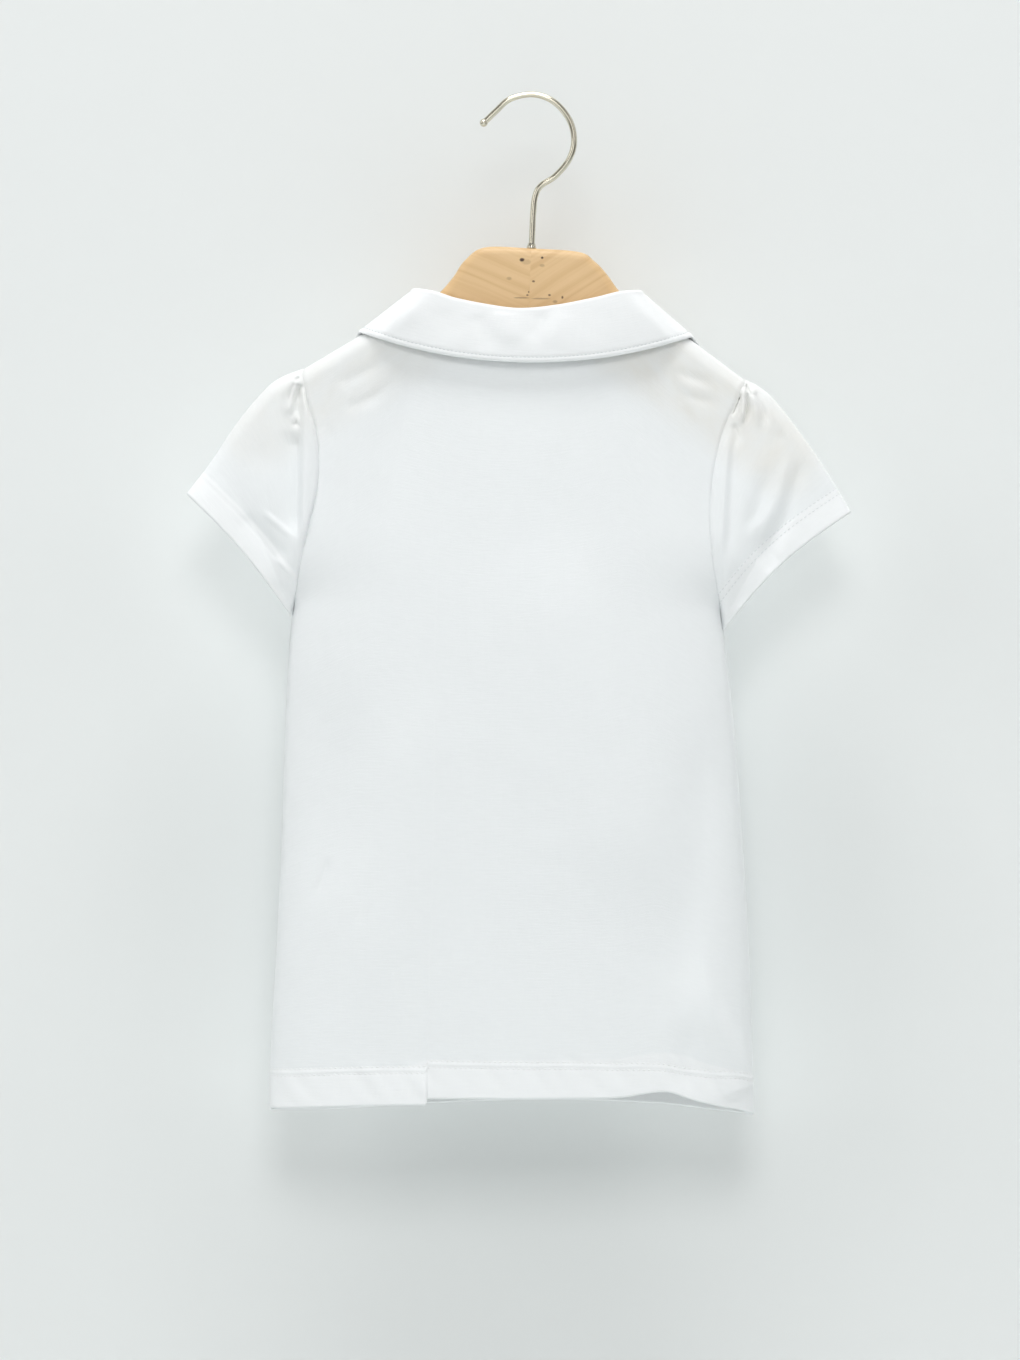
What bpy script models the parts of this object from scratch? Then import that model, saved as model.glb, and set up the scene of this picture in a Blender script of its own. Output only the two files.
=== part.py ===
"""A child's peter pan collar t-shirt on a wooden hanger, hung by the hanger's hook.

The shirt hangs with its back towards -Y and its front towards +Y, +X to the viewer's right,
and the origin is the inside top of the hook, where the rail lies.
Sizes are in millimetres and become metres as each mesh is made.
A height is given as its drop, the distance below the origin.
"""
import math

import bmesh
import bpy
from mathutils import Matrix, Vector

MM = 0.001

# Cloth
CLOTH_WALL = 1.2          # jersey with its seams, as a solid wall
COLLAR_WALL = 1.6         # two layers of the same jersey
SEAM_HALF_GAP = 0.25      # each piece stops this far short of its seam
SIDE_SEAM_HALF_GAP = 0.45
UNDERARM_GAP = 1.6        # more room for the sleeve where it turns under the arm
COLLAR_GAP = 0.9
BACK = -1                 # the back's side of the Y axis
FRONT = 1
LEFT = -1                 # the wearer's left, at -X
RIGHT = 1

# The shoulder seams run on top of the hanger's arms.
SHOULDER_POINT = {LEFT: (-119.6, 141.5), RIGHT: (110.2, 147.2)}
NECK_POINT = {LEFT: (-62.9, 107.7), RIGHT: (55.6, 106.4)}
SHOULDER_ROUND = 7.9      # how far below the seam the cloth has turned to hang straight
UNDERARM = {LEFT: (-124.8, 264.7), RIGHT: (97.8, 268.3)}

# Side seams from the hem up to the underarm: (drop, left x, right x)
SIDE_SEAMS = (
    (528.0, -136.4, 114.4),
    (495.6, -136.0, 113.6),
    (443.6, -133.2, 111.8),
    (391.6, -130.6, 108.8),
    (339.6, -129.0, 105.2),
    (300.6, -127.4, 101.4),
    (268.3, -125.2, 97.8),
)

# Armhole seams from the shoulder down: (drop, left x, right x)
ARMHOLE_SEAMS = (
    (146.0, -119.4, 110.0),
    (158.0, -117.0, 105.2),
    (172.0, -112.8, 99.0),
    (188.0, -111.0, 94.6),
    (204.0, -111.8, 92.2),
    (221.0, -115.6, 91.4),
    (237.0, -119.4, 92.4),
    (252.0, -121.6, 94.8),
    (265.5, -124.4, 97.4),
)

# Hems across the body: (x, drop of the back hem, drop of the front hem)
HEMS = (
    (-136.4, 524.2, 526.4),
    (-100.0, 524.2, 526.0),
    (-60.0, 523.2, 523.6),
    (-50.0, 519.8, 522.0),
    (-10.0, 520.2, 520.6),
    (40.0, 519.8, 521.2),
    (64.0, 516.8, 521.8),
    (82.0, 521.4, 523.6),
    (98.0, 525.4, 526.0),
    (114.4, 528.2, 528.6),
)

# Half depth of the body at its middle: (drop, half depth)
BODY_DEPTHS = (
    (98.0, 9.4),
    (125.0, 10.0),
    (160.0, 11.4),
    (205.0, 15.0),
    (268.0, 20.5),
    (350.0, 25.0),
    (450.0, 28.0),
    (530.0, 29.0),
)
SECTION_POWER = 3.0       # the body's section is a soft-cornered oblong
ARMHOLE_REACH = 0.70      # how far out on that section the armhole seams lie
UNDERARM_TURN = 42.0      # height over which the side seam opens into the armhole
ARMHOLE_TOP = 1 / 24      # share of the armhole seam that rounds in to the shoulder point
TOP_SPACING_FROM = 0.68   # share of a panel's height where its columns begin to follow its top edge

# The neckline, from the shoulder seams down to the middle
NECK_DIP = {BACK: 11.0, FRONT: 55.0}
NECK_CURVE = {BACK: 2.2, FRONT: 2.6}
NECK_CROWDING = 0.25      # how much closer its steps lie beside the shoulder seams

# Panel grid
SHOULDER_COLUMNS = 5
NECK_COLUMNS = 14
BODY_ROWS = 12
ARMHOLE_ROWS = 13

# Top edge of each sleeve, from the shoulder point to the cuff: (x, drop)
SLEEVE_TOPS = {
    LEFT: ((-119.6, 141.5), (-130.6, 145.8), (-138.0, 151.0),
           (-153.0, 168.6), (-167.4, 190.0), (-179.6, 206.0)),
    RIGHT: ((110.2, 147.2), (116.4, 150.2), (124.0, 156.2),
            (136.4, 171.6), (149.4, 190.0), (164.8, 215.4)),
}
CUFF_UNDER = {LEFT: (-129.4, 269.0), RIGHT: (101.4, 276.2)}
CUFF_HOLLOW = {LEFT: 2.0, RIGHT: 3.4}     # how far the cuff's edge bows up into the sleeve
CUFF_HALF_DEPTH = 12.5
SLEEVE_POWER = 2.6
SLEEVE_PUFF = 2.2
PUFF_SHARE = 0.77         # of the sleeve's length that puffs out
SLEEVE_SIDES = 32
SLEEVE_RINGS = 9
GATHER_COUNT = 7          # gathers over each half of the sleeve head
GATHER_DEPTH = 0.9
GATHER_SHARE = 0.6        # of the seam and of the sleeve's length over which they fade

# The collar: where it rolls over, and the edge that falls outside: (x, drop)
ROLL_LINE = (
    (-60.2, 99.6),
    (-50.3, 101.8),
    (-40.6, 105.0),
    (-20.0, 109.0),
    (-6.5, 110.4),
    (11.4, 108.8),
    (32.2, 104.8),
    (44.5, 101.8),
    (54.0, 100.6),
)
FALL_EDGE_ENDS = {LEFT: (-90.6, 121.4), RIGHT: (82.8, 123.4)}     # on the shoulder seams
FALL_EDGE_DIP = 15.0      # how much lower it is at the middle of the back
FALL_EDGE_CURVE = 2.1
ROLL_RADIUS = 1.5
FALL_LIFT = 2.2           # clear space under the fall's edge, behind
FALL_RISE = 2.6           # and how much more at the middle of the back
FRONT_FALL_LIFT = 2.0     # and in front
FALL_LIFT_SPREAD = 1.2    # how soon it is reached away from the shoulder seams
FALL_SHARES = (0.25, 0.6, 1.0)      # of the way from the roll to the fall's edge
ROLL_ANGLES = (180, 120, 60, 0)
STAND_MIDDLE = 0.55
FALL_CLEARANCE = 1.1      # and the least under it, behind and in front
SHOULDER_CLEARANCE = 0.5  # and where it crosses the shoulders
FRONT_STAND = 4.2         # height of the stand at the middle of the front
LEAF_WIDTH = 44.0         # of each rounded leaf in front
LEAF_ROUND = 0.34         # share of the front neckline where a leaf's end is rounded
LEAF_END_WIDTH = 7.0
LEAF_GAP = 0.8            # between the two leaves, at the middle of the front
LEAF_SPREAD = {LEFT: 3.4, RIGHT: 6.0}     # how soon each leaf reaches its full width
LEAF_TURN = 1.15          # how soon its edge has turned from the shoulder seam to this angle
LEAF_ANGLE = math.radians(84)
ROLL_TURN = 3.0           # the same for the roll, which ends square to the neckline
STAND_SPREAD = 1.5
LEAF_CROWDING = 0.3       # how much closer the stations lie where the leaf begins
STATION_CROWDING = 0.5
NECK_STEP = 0.002         # share of the neckline over which its direction is measured
COLLAR_BACK_STEPS = 18
COLLAR_FRONT_STEPS = 13

# The hanger
HANGER_TILT = math.radians(2.8)     # its right arm hangs lower
PLATE_THICKNESS = 12.0
PLATE_EDGE_ROUND = 4.5
JOINT_GAP = 0.3
JOINT_X = 3.0             # of the glued joint, in the hanger's own frame

# The hanger's outline in its own frame, from the joint's top out along each arm and back below:
# (distance from the joint, drop)
ARM_OUTLINES = {
    LEFT: (
        (24.0, 79.2), (34.2, 86.4), (40.4, 96.2), (48.0, 105.2), (60.0, 113.0), (90.0, 133.0),
        (115.0, 149.8), (129.0, 160.4), (139.5, 171.0), (145.0, 182.0), (143.0, 192.0), (134.0, 193.8),
        (116.0, 181.6), (88.0, 162.6), (58.0, 144.0), (28.0, 132.4),
    ),
    RIGHT: (
        (24.6, 79.2), (33.0, 83.6), (39.6, 89.8), (47.2, 99.0), (58.0, 106.8), (90.0, 128.3),
        (114.0, 144.5), (128.6, 154.6), (139.2, 163.8), (145.7, 174.4), (144.7, 184.2), (136.3, 187.2),
        (116.0, 176.4), (88.0, 160.4), (58.0, 142.0), (28.0, 131.8),
    ),
}
JOINT_TOP = 78.6
JOINT_BOTTOM = 129.6

# The hook's wire in the hanger's own frame, from the ball at its tip to the wood: (x, drop)
WIRE_DIAMETER = 3.2
BALL_DIAMETER = 4.6
BALL_CLEARANCE = 0.6      # share of it where the wire's own rings begin
BALL_ANGLES = range(15, 136, 20)
ROUTE_STEPS = 4           # from each point of the route to the next
HOOK_ROUTE = (
    (-25.0, 14.5),
    (-18.8, 7.9),
    (-11.8, 1.4),
    (0.0, -1.6),
    (11.2, 1.9),
    (19.7, 11.2),
    (22.4, 22.0),
    (20.2, 31.4),
    (13.6, 40.2),
    (6.3, 45.7),
    (3.6, 51.4),
    (3.0, 60.0),
    (3.0, 69.0),
)
HOOK_FOOT = 78.2          # drop of the wire's lower end, just clear of the wood
FERRULE_HEIGHT = 2.6
FERRULE_RADIUS = 2.5
FERRULE_CLEARANCE = 0.3

COLORS = {
    "white_jersey": ((0.86, 0.88, 0.885), 0.85, 0.0),
    "white_collar_jersey": ((0.88, 0.90, 0.905), 0.85, 0.0),
    "pale_wood": ((0.70, 0.50, 0.30), 0.55, 0.0),
    "satin_nickel": ((0.62, 0.60, 0.56), 0.28, 1.0),
}


def clear_scene():
    for item in list(bpy.data.objects):
        bpy.data.objects.remove(item, do_unlink=True)


def new_collection(name):
    collection = bpy.data.collections.new(name)
    bpy.context.scene.collection.children.link(collection)
    return collection


def new_material(name):
    color, roughness, metallic = COLORS[name]
    material = bpy.data.materials.new(name)
    material.use_nodes = True
    shader = material.node_tree.nodes["Principled BSDF"]
    shader.inputs["Base Color"].default_value = (*color, 1.0)
    shader.inputs["Roughness"].default_value = roughness
    shader.inputs["Metallic"].default_value = metallic
    return material


def mix(a, b, share):
    return a + (b - a) * share


def smooth_step(share):
    share = min(max(share, 0.0), 1.0)
    return share * share * (3.0 - 2.0 * share)


def table_value(rows, key, column=1):
    """The value at a key in a table sorted by its first column, on a smooth curve through it."""
    if key <= rows[0][0]:
        return rows[0][column]
    if key >= rows[-1][0]:
        return rows[-1][column]
    index = 0
    while rows[index + 1][0] < key:
        index += 1

    def slope(i):
        low, high = max(i - 1, 0), min(i + 1, len(rows) - 1)
        return (rows[high][column] - rows[low][column]) / (rows[high][0] - rows[low][0])

    start, end = rows[index], rows[index + 1]
    span = end[0] - start[0]
    t = (key - start[0]) / span
    return ((1 + 2 * t) * (1 - t) ** 2 * start[column] + t * (1 - t) ** 2 * span * slope(index)
            + t * t * (3 - 2 * t) * end[column] - t * t * (1 - t) * span * slope(index + 1))


def along(points, share):
    """The point at a share of the length of a smooth curve through the points."""
    lengths = [0.0]
    for start, end in zip(points, points[1:]):
        lengths.append(lengths[-1] + math.dist(start, end))
    at = share * lengths[-1]
    return tuple(table_value([(length, p[axis]) for length, p in zip(lengths, points)], at)
                 for axis in range(2))


# ---- The garment's surface -------------------------------------------------

def shoulder_line(side):
    """A point on a shoulder seam and its outward direction, as (x, drop) pairs."""
    neck, point = NECK_POINT[side], SHOULDER_POINT[side]
    length = math.dist(neck, point)
    return neck, ((point[0] - neck[0]) / length, (point[1] - neck[1]) / length)


def below_shoulders(x, drop):
    """How far a point lies below the line of the nearer shoulder seam, square to it."""
    distances = []
    for side in (LEFT, RIGHT):
        (x0, drop0), (dx, down) = shoulder_line(side)
        distances.append(abs(dx) * (drop - drop0) - side * down * (x - x0))
    return min(distances)


def side_x(side, drop):
    """The x of the side seam, or of the armhole seam above it."""
    column = 1 if side == LEFT else 2
    if drop >= UNDERARM[side][1]:
        return table_value(SIDE_SEAMS[::-1], drop, column)
    return table_value(ARMHOLE_SEAMS, drop, column)


def section_depth(x, drop):
    """Half the body's depth at a point, before it narrows over the hanger's arms."""
    left, right = side_x(LEFT, drop), side_x(RIGHT, drop)
    across = abs((x - (left + right) / 2) / ((right - left) / 2))
    underarm = UNDERARM[LEFT if x < (left + right) / 2 else RIGHT][1]
    reach = mix(1.0, ARMHOLE_REACH, smooth_step((underarm - drop) / UNDERARM_TURN))
    rounding = max(1.0 - min(reach * across, 1.0) ** SECTION_POWER, 0.0) ** (1 / SECTION_POWER)
    return table_value(BODY_DEPTHS, drop) * rounding


def turn_short(x, drop):
    """How far above the foot of the shoulder's turn a point lies; 0 below it."""
    return max(SHOULDER_ROUND - below_shoulders(x, drop), 0.0)


def layer_depth(x, drop, lift=0.0):
    """Distance from the plane of the side seams to a layer lying outside the middle of the cloth."""
    short = min(turn_short(x, drop) / (SHOULDER_ROUND + lift), 1.0)
    return (section_depth(x, drop) + lift) * math.sqrt(1.0 - short ** 2)


def neckline(side, share):
    """A point of the neckline, from the left neck point at 0 to the right one at 1."""
    (left_x, left_drop), (right_x, right_drop) = NECK_POINT[LEFT], NECK_POINT[RIGHT]
    hang = 1.0 - abs(2 * share - 1) ** NECK_CURVE[side]
    return mix(left_x, right_x, share), mix(left_drop, right_drop, share) + NECK_DIP[side] * hang


def neck_share(turn):
    """Steps along the neckline, closest together where it leaves the shoulder seams."""
    even = (1 - math.cos(math.pi * turn)) / 2
    return mix(even, (1 - math.cos(math.pi * even)) / 2, NECK_CROWDING)


def top_edge(side, column):
    """A panel's top edge: shoulder seam, neckline, shoulder seam."""
    last = 2 * SHOULDER_COLUMNS + NECK_COLUMNS
    for arm, steps in ((LEFT, column), (RIGHT, last - column)):
        if steps < SHOULDER_COLUMNS:
            point, neck = SHOULDER_POINT[arm], NECK_POINT[arm]
            share = steps / SHOULDER_COLUMNS
            return mix(point[0], neck[0], share), mix(point[1], neck[1], share)
    return neckline(side, neck_share((column - SHOULDER_COLUMNS) / NECK_COLUMNS))


def hem_edge(side, share):
    x = mix(HEMS[0][0], HEMS[-1][0], (1 - math.cos(math.pi * share)) / 2)
    return x, table_value(HEMS, x, 1 if side == BACK else 2)


def armhole(side, share):
    """A point of the armhole seam, from the shoulder point at 0 to the underarm at 1."""
    top, under = SHOULDER_POINT[side], UNDERARM[side]
    drop = mix(top[1], under[1], share)
    return mix(side_x(side, drop), top[0], max(1.0 - share / ARMHOLE_TOP, 0.0)), drop


def side_edge(panel, side, row):
    """A panel's side edge: side seam from the hem, then the armhole seam."""
    hem = HEMS[0] if side == LEFT else HEMS[-1]
    hem_drop = hem[1 if panel == BACK else 2]
    if row <= BODY_ROWS:
        drop = mix(hem_drop, UNDERARM[side][1], row / BODY_ROWS)
        return side_x(side, drop), drop
    return armhole(side, (1 + math.cos(math.pi * (row - BODY_ROWS) / ARMHOLE_ROWS)) / 2)


def blended(u, v, bottom, top, left, right, corners):
    """Coons patch of four edges: u across, v up, corners (bottom left, bottom right, top left, top right)."""
    point = []
    for axis in range(2):
        across = mix(left[axis], right[axis], u)
        upward = mix(bottom[axis], top[axis], v)
        flat = mix(mix(corners[0][axis], corners[1][axis], u), mix(corners[2][axis], corners[3][axis], u), v)
        point.append(across + upward - flat)
    return point


def panel_points(panel):
    """The grid of a panel's middle surface, row by row from the hem."""
    columns = 2 * SHOULDER_COLUMNS + NECK_COLUMNS
    row_count = BODY_ROWS + ARMHOLE_ROWS
    corners = (hem_edge(panel, 0.0), hem_edge(panel, 1.0), SHOULDER_POINT[LEFT], SHOULDER_POINT[RIGHT])
    grid = []
    for row in range(row_count + 1):
        left, right = side_edge(panel, LEFT, row), side_edge(panel, RIGHT, row)
        v = (hem_edge(panel, 0.0)[1] - left[1]) / (hem_edge(panel, 0.0)[1] - SHOULDER_POINT[LEFT][1])
        points = []
        for column in range(columns + 1):
            share = column / columns
            u = (1 - math.cos(math.pi * share)) / 2
            top = top_edge(panel, column)
            top_u = (top[0] - SHOULDER_POINT[LEFT][0]) / (SHOULDER_POINT[RIGHT][0] - SHOULDER_POINT[LEFT][0])
            u = mix(u, top_u, smooth_step((v - TOP_SPACING_FROM) / (1 - TOP_SPACING_FROM)))
            x, drop = blended(u, v, hem_edge(panel, share), top, left, right, corners)
            depth = layer_depth(x, drop)
            if column in (0, columns):
                if row > BODY_ROWS:
                    x += SEAM_HALF_GAP * (1 if column == 0 else -1)
                else:
                    depth = 0.0
            points.append((x, panel * max(depth, SIDE_SEAM_HALF_GAP), -drop))
        grid.append(points)
    return grid


def sleeve_points(side):
    """The rings of a sleeve's middle surface, from the armhole to the cuff."""
    tops, under, cuff_under = SLEEVE_TOPS[side], UNDERARM[side], CUFF_UNDER[side]
    cuff_top = tops[-1]
    corners = (under, cuff_under, SHOULDER_POINT[side], cuff_top)
    grid = []
    for ring in range(SLEEVE_RINGS + 1):
        v = ring / SLEEVE_RINGS
        top = along(tops, v)
        bottom = (mix(under[0], cuff_under[0], v), mix(under[1], cuff_under[1], v))
        points = []
        for corner in range(SLEEVE_SIDES):
            turn = 2 * math.pi * corner / SLEEVE_SIDES
            share = (1 - math.cos(turn)) / 2
            face = BACK if math.sin(turn) > 0 else FRONT
            start = armhole(side, share)
            bow = CUFF_HOLLOW[side] * math.sin(math.pi * share)
            cuff = (mix(cuff_top[0], cuff_under[0], share) - side * bow,
                    mix(cuff_top[1], cuff_under[1], share) - bow)
            x, drop = blended(v, 1 - share, bottom, top, start, cuff, corners)
            seam_depth = layer_depth(*start)
            cuff_depth = CUFF_HALF_DEPTH * (1 - abs(2 * share - 1) ** SLEEVE_POWER) ** (1 / SLEEVE_POWER)
            puff = SLEEVE_PUFF * math.sin(math.pi * min(v / PUFF_SHARE, 1.0)) * math.sin(math.pi * share)
            gather = GATHER_DEPTH * math.cos(2 * math.pi * GATHER_COUNT * share)
            for reach in (share, v):
                gather *= math.sin(math.pi * min(reach, 0.5)) * max(1 - reach / GATHER_SHARE, 0.0)
            depth = mix(seam_depth, cuff_depth, smooth_step(v)) + puff + gather
            if corner in (0, SLEEVE_SIDES // 2):
                depth = 0.0
            shift = (SEAM_HALF_GAP + UNDERARM_GAP * share ** 2) * (1 - v)
            points.append((x + side * shift, face * depth, -drop))
        grid.append(points)
    return grid


# ---- The collar ------------------------------------------------------------

def collar_back_station(turn):
    """Neck seam, roll and fall edge of the collar at a share of the back neckline."""
    share = (1 - math.cos(math.pi * turn)) / 2
    neck = neckline(BACK, share)
    roll_x = mix(ROLL_LINE[0][0], ROLL_LINE[-1][0], share)
    roll = (roll_x, table_value(ROLL_LINE, roll_x))
    (left_x, left_drop), (right_x, right_drop) = FALL_EDGE_ENDS[LEFT], FALL_EDGE_ENDS[RIGHT]
    dip = FALL_EDGE_DIP * (1 - abs(2 * share - 1) ** FALL_EDGE_CURVE)
    edge = (mix(left_x, right_x, share), mix(left_drop, right_drop, share) + dip)
    return BACK, neck, roll, edge


def collar_front_station(side, turn):
    """The same on one side of the front, from the neck point at 0 to the middle at 1."""
    middle = 0.5 + side * LEAF_GAP / 2 / (NECK_POINT[RIGHT][0] - NECK_POINT[LEFT][0])
    round_neck = mix(neck_share(turn / 2) * 2, turn * turn, LEAF_CROWDING)
    share = mix(0.0 if side == LEFT else 1.0, middle, round_neck)
    neck = neckline(FRONT, share)
    ahead = neckline(FRONT, share + side * NECK_STEP)
    corner = ROLL_LINE[0] if side == LEFT else ROLL_LINE[-1]
    corner_angle = math.atan2(NECK_POINT[side][1] - corner[1], -side * (corner[0] - NECK_POINT[side][0]))
    square_angle = math.atan2(abs(ahead[0] - neck[0]), abs(ahead[1] - neck[1]))
    angle = mix(corner_angle, square_angle, smooth_step(turn * ROLL_TURN))
    stand = mix(math.dist(NECK_POINT[side], corner), FRONT_STAND, smooth_step(turn * STAND_SPREAD))
    roll = (neck[0] - side * stand * math.cos(angle), neck[1] - stand * math.sin(angle))
    shoulder_edge = FALL_EDGE_ENDS[side]
    width = mix(math.dist(NECK_POINT[side], shoulder_edge), LEAF_WIDTH, smooth_step(turn * LEAF_SPREAD[side]))
    rounding = max((turn - (1 - LEAF_ROUND)) / LEAF_ROUND, 0.0)
    width = mix(LEAF_END_WIDTH, width, math.sqrt(max(1 - rounding ** 2, 0.0)))
    across, down = (shoulder_edge[axis] - NECK_POINT[side][axis] for axis in range(2))
    angle = mix(math.atan2(down, abs(across)), LEAF_ANGLE, smooth_step(turn * LEAF_TURN))
    edge = (neck[0] + side * width * math.cos(angle), neck[1] + width * math.sin(angle))
    return FRONT, neck, roll, edge


def collar_stations():
    """Stations from the middle of the front, round the left, the back and the right."""
    turns = [step / COLLAR_FRONT_STEPS for step in range(1, COLLAR_FRONT_STEPS + 1)]
    turns = [mix(turn, math.sin(math.pi / 2 * turn), STATION_CROWDING) for turn in turns]
    stations = [collar_front_station(LEFT, turn) for turn in reversed(turns)]
    stations += [collar_back_station(step / COLLAR_BACK_STEPS) for step in range(COLLAR_BACK_STEPS + 1)]
    stations += [collar_front_station(RIGHT, turn) for turn in turns]
    return stations


def collar_points():
    """The collar's middle surface: each row climbs the stand, turns at the roll and falls outside."""
    grid = []
    neck_middle = (NECK_POINT[LEFT][0] + NECK_POINT[RIGHT][0]) / 2
    layers = (CLOTH_WALL + COLLAR_WALL) / 2
    for face, neck, roll, edge in collar_stations():
        climb = Vector((roll[0] - neck[0], 0.0, neck[1] - roll[1]))
        stand = climb.length - COLLAR_WALL / 2
        climb.normalize()
        sideways = turn_short(*neck) / SHOULDER_ROUND
        straight = math.sqrt(1 - sideways ** 2)
        outward = Vector((math.copysign(sideways, neck[0] - neck_middle), face * straight, 0.0))
        base = Vector((neck[0], face * layer_depth(*neck), -neck[1])) + climb * COLLAR_GAP
        centre = base + climb * (stand - ROLL_RADIUS) + outward * ROLL_RADIUS
        row = [base, base.lerp(centre - outward * ROLL_RADIUS, STAND_MIDDLE)]
        for angle in ROLL_ANGLES:
            turn = math.radians(angle)
            row.append(centre + ROLL_RADIUS * (outward * math.cos(turn) + climb * math.sin(turn)))
        across = (edge[0] - FALL_EDGE_ENDS[LEFT][0]) / (FALL_EDGE_ENDS[RIGHT][0] - FALL_EDGE_ENDS[LEFT][0])
        raised = FALL_LIFT + FALL_RISE * (1 - (2 * across - 1) ** 2)
        lift = layers + (raised if face == BACK else FRONT_FALL_LIFT)
        lift = mix(-below_shoulders(*edge), lift, smooth_step(FALL_LIFT_SPREAD * (1 - sideways)))
        start, end = row[-1], Vector((edge[0], face * layer_depth(*edge, lift), -edge[1]))
        for share in FALL_SHARES:
            point = start.lerp(end, share)
            least = layers + mix(SHOULDER_CLEARANCE, FALL_CLEARANCE, straight)
            point.y = face * max(face * point.y, layer_depth(point.x, -point.z, least))
            row.append(point)
        grid.append(row)
    return grid


# ---- Making the pieces -----------------------------------------------------

def cloth_piece(name, grid, wall, material, collection, closed=False):
    """A cloth wall on a grid of middle points; a closed grid joins each row's ends."""
    mesh = bpy.data.meshes.new(name)
    build = bmesh.new()
    rows = [[build.verts.new(Vector(point) * MM) for point in row] for row in grid]
    for low, high in zip(rows, rows[1:]):
        count = len(low)
        for step in range(count if closed else count - 1):
            after = (step + 1) % count
            build.faces.new((low[step], low[after], high[after], high[step]))
    bmesh.ops.recalc_face_normals(build, faces=build.faces)
    build.to_mesh(mesh)
    build.free()
    piece = bpy.data.objects.new(name, mesh)
    collection.objects.link(piece)
    mesh.materials.append(material)
    solid = piece.modifiers.new("wall", "SOLIDIFY")
    solid.thickness = wall * MM
    solid.offset = 0.0
    solid.use_even_offset = False
    return piece


def hanger_outline():
    """The whole hanger's outline as (x, drop) points in its own frame."""
    right = [(JOINT_X + reach, drop) for reach, drop in ARM_OUTLINES[RIGHT]]
    left = [(JOINT_X - reach, drop) for reach, drop in reversed(ARM_OUTLINES[LEFT])]
    return [(JOINT_X, JOINT_TOP)] + right + [(JOINT_X, JOINT_BOTTOM)] + left


def make_hanger_blank():
    """The plate of both arms together, with round edges, as a mesh."""
    curve = bpy.data.curves.new("hanger_outline", "CURVE")
    curve.dimensions = "2D"
    curve.fill_mode = "BOTH"
    curve.resolution_u = 3
    curve.extrude = (PLATE_THICKNESS / 2 - PLATE_EDGE_ROUND) * MM
    curve.bevel_depth = PLATE_EDGE_ROUND * MM
    curve.bevel_resolution = 1
    curve.offset = -PLATE_EDGE_ROUND * MM
    points = hanger_outline()
    spline = curve.splines.new("BEZIER")
    spline.bezier_points.add(len(points) - 1)
    for bezier, (x, drop) in zip(spline.bezier_points, points):
        bezier.co = (x * MM, -drop * MM, 0.0)
        bezier.handle_left_type = "AUTO"
        bezier.handle_right_type = "AUTO"
    spline.use_cyclic_u = True
    outline = bpy.data.objects.new("hanger_outline", curve)
    bpy.context.scene.collection.objects.link(outline)
    bpy.context.view_layer.update()
    mesh = bpy.data.meshes.new_from_object(outline.evaluated_get(bpy.context.evaluated_depsgraph_get()))
    bpy.data.objects.remove(outline)
    mesh.transform(Matrix.Rotation(math.radians(90), 4, "X"))
    return mesh


def hanger_arm(name, side, blank, parent, material, collection):
    """One arm: the blank cut at the glued joint."""
    mesh = blank.copy()
    mesh.name = name
    build = bmesh.new()
    build.from_mesh(mesh)
    bmesh.ops.remove_doubles(build, verts=build.verts, dist=0.00001)
    cut = bmesh.ops.bisect_plane(
        build, geom=build.verts[:] + build.edges[:] + build.faces[:], dist=0.000001,
        plane_co=((JOINT_X + side * JOINT_GAP / 2) * MM, 0, 0), plane_no=(side, 0, 0), clear_inner=True)
    rim = [item for item in cut["geom_cut"] if isinstance(item, bmesh.types.BMEdge)]
    bmesh.ops.contextual_create(build, geom=rim)
    bmesh.ops.recalc_face_normals(build, faces=build.faces)
    build.to_mesh(mesh)
    build.free()
    mesh.materials.clear()
    mesh.materials.append(material)
    arm = bpy.data.objects.new(name, mesh)
    arm.parent = parent
    collection.objects.link(arm)
    return arm


def hook_route():
    """Points along the hook's wire with the wire's width there, as (x, drop, width) rows."""
    curve = []
    points = HOOK_ROUTE
    for index in range(len(points) - 1):
        before = Vector(points[max(index - 1, 0)])
        start, end = Vector(points[index]), Vector(points[index + 1])
        after = Vector(points[min(index + 2, len(points) - 1)])
        for step in range(ROUTE_STEPS):
            t = step / ROUTE_STEPS
            place = 0.5 * (2 * start + (end - before) * t + (2 * before - 5 * start + 4 * end - after) * t * t
                           + (3 * start - before - 3 * end + after) * t ** 3)
            curve.append((place.x, place.y, 1.0))
    curve.append((*points[-1], 1.0))
    curve.append((points[-1][0], HOOK_FOOT, 1.0))
    return curve


def ball_rows(tip, inward):
    """The ball at the wire's tip, as rows of the same kind, from its pole to the wire."""
    rows = []
    radius = BALL_DIAMETER / 2
    for angle in BALL_ANGLES:
        turn = math.radians(angle)
        place = tip - inward * radius * math.cos(turn)
        rows.append((place.x, place.y, radius * math.sin(turn) / (WIRE_DIAMETER / 2)))
    return rows


def make_hook(name, parent, material, collection):
    """The bent wire of the hook, with the ball at its tip."""
    wire = hook_route()
    tip, inner = Vector(wire[0][:2]), Vector(wire[1][:2])
    inward = (inner - tip).normalized()
    clear_of_ball = BALL_DIAMETER * BALL_CLEARANCE
    rows = ball_rows(tip, inward) + [row for row in wire if (Vector(row[:2]) - tip).length > clear_of_ball]
    curve = bpy.data.curves.new(name, "CURVE")
    curve.dimensions = "3D"
    curve.bevel_depth = WIRE_DIAMETER / 2 * MM
    curve.bevel_resolution = 2
    curve.use_fill_caps = True
    spline = curve.splines.new("POLY")
    spline.points.add(len(rows) - 1)
    for point, (x, drop, width) in zip(spline.points, rows):
        point.co = (x * MM, 0.0, -drop * MM, 1.0)
        point.radius = width
    curve.materials.append(material)
    hook = bpy.data.objects.new(name, curve)
    hook.parent = parent
    collection.objects.link(hook)
    return hook


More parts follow.
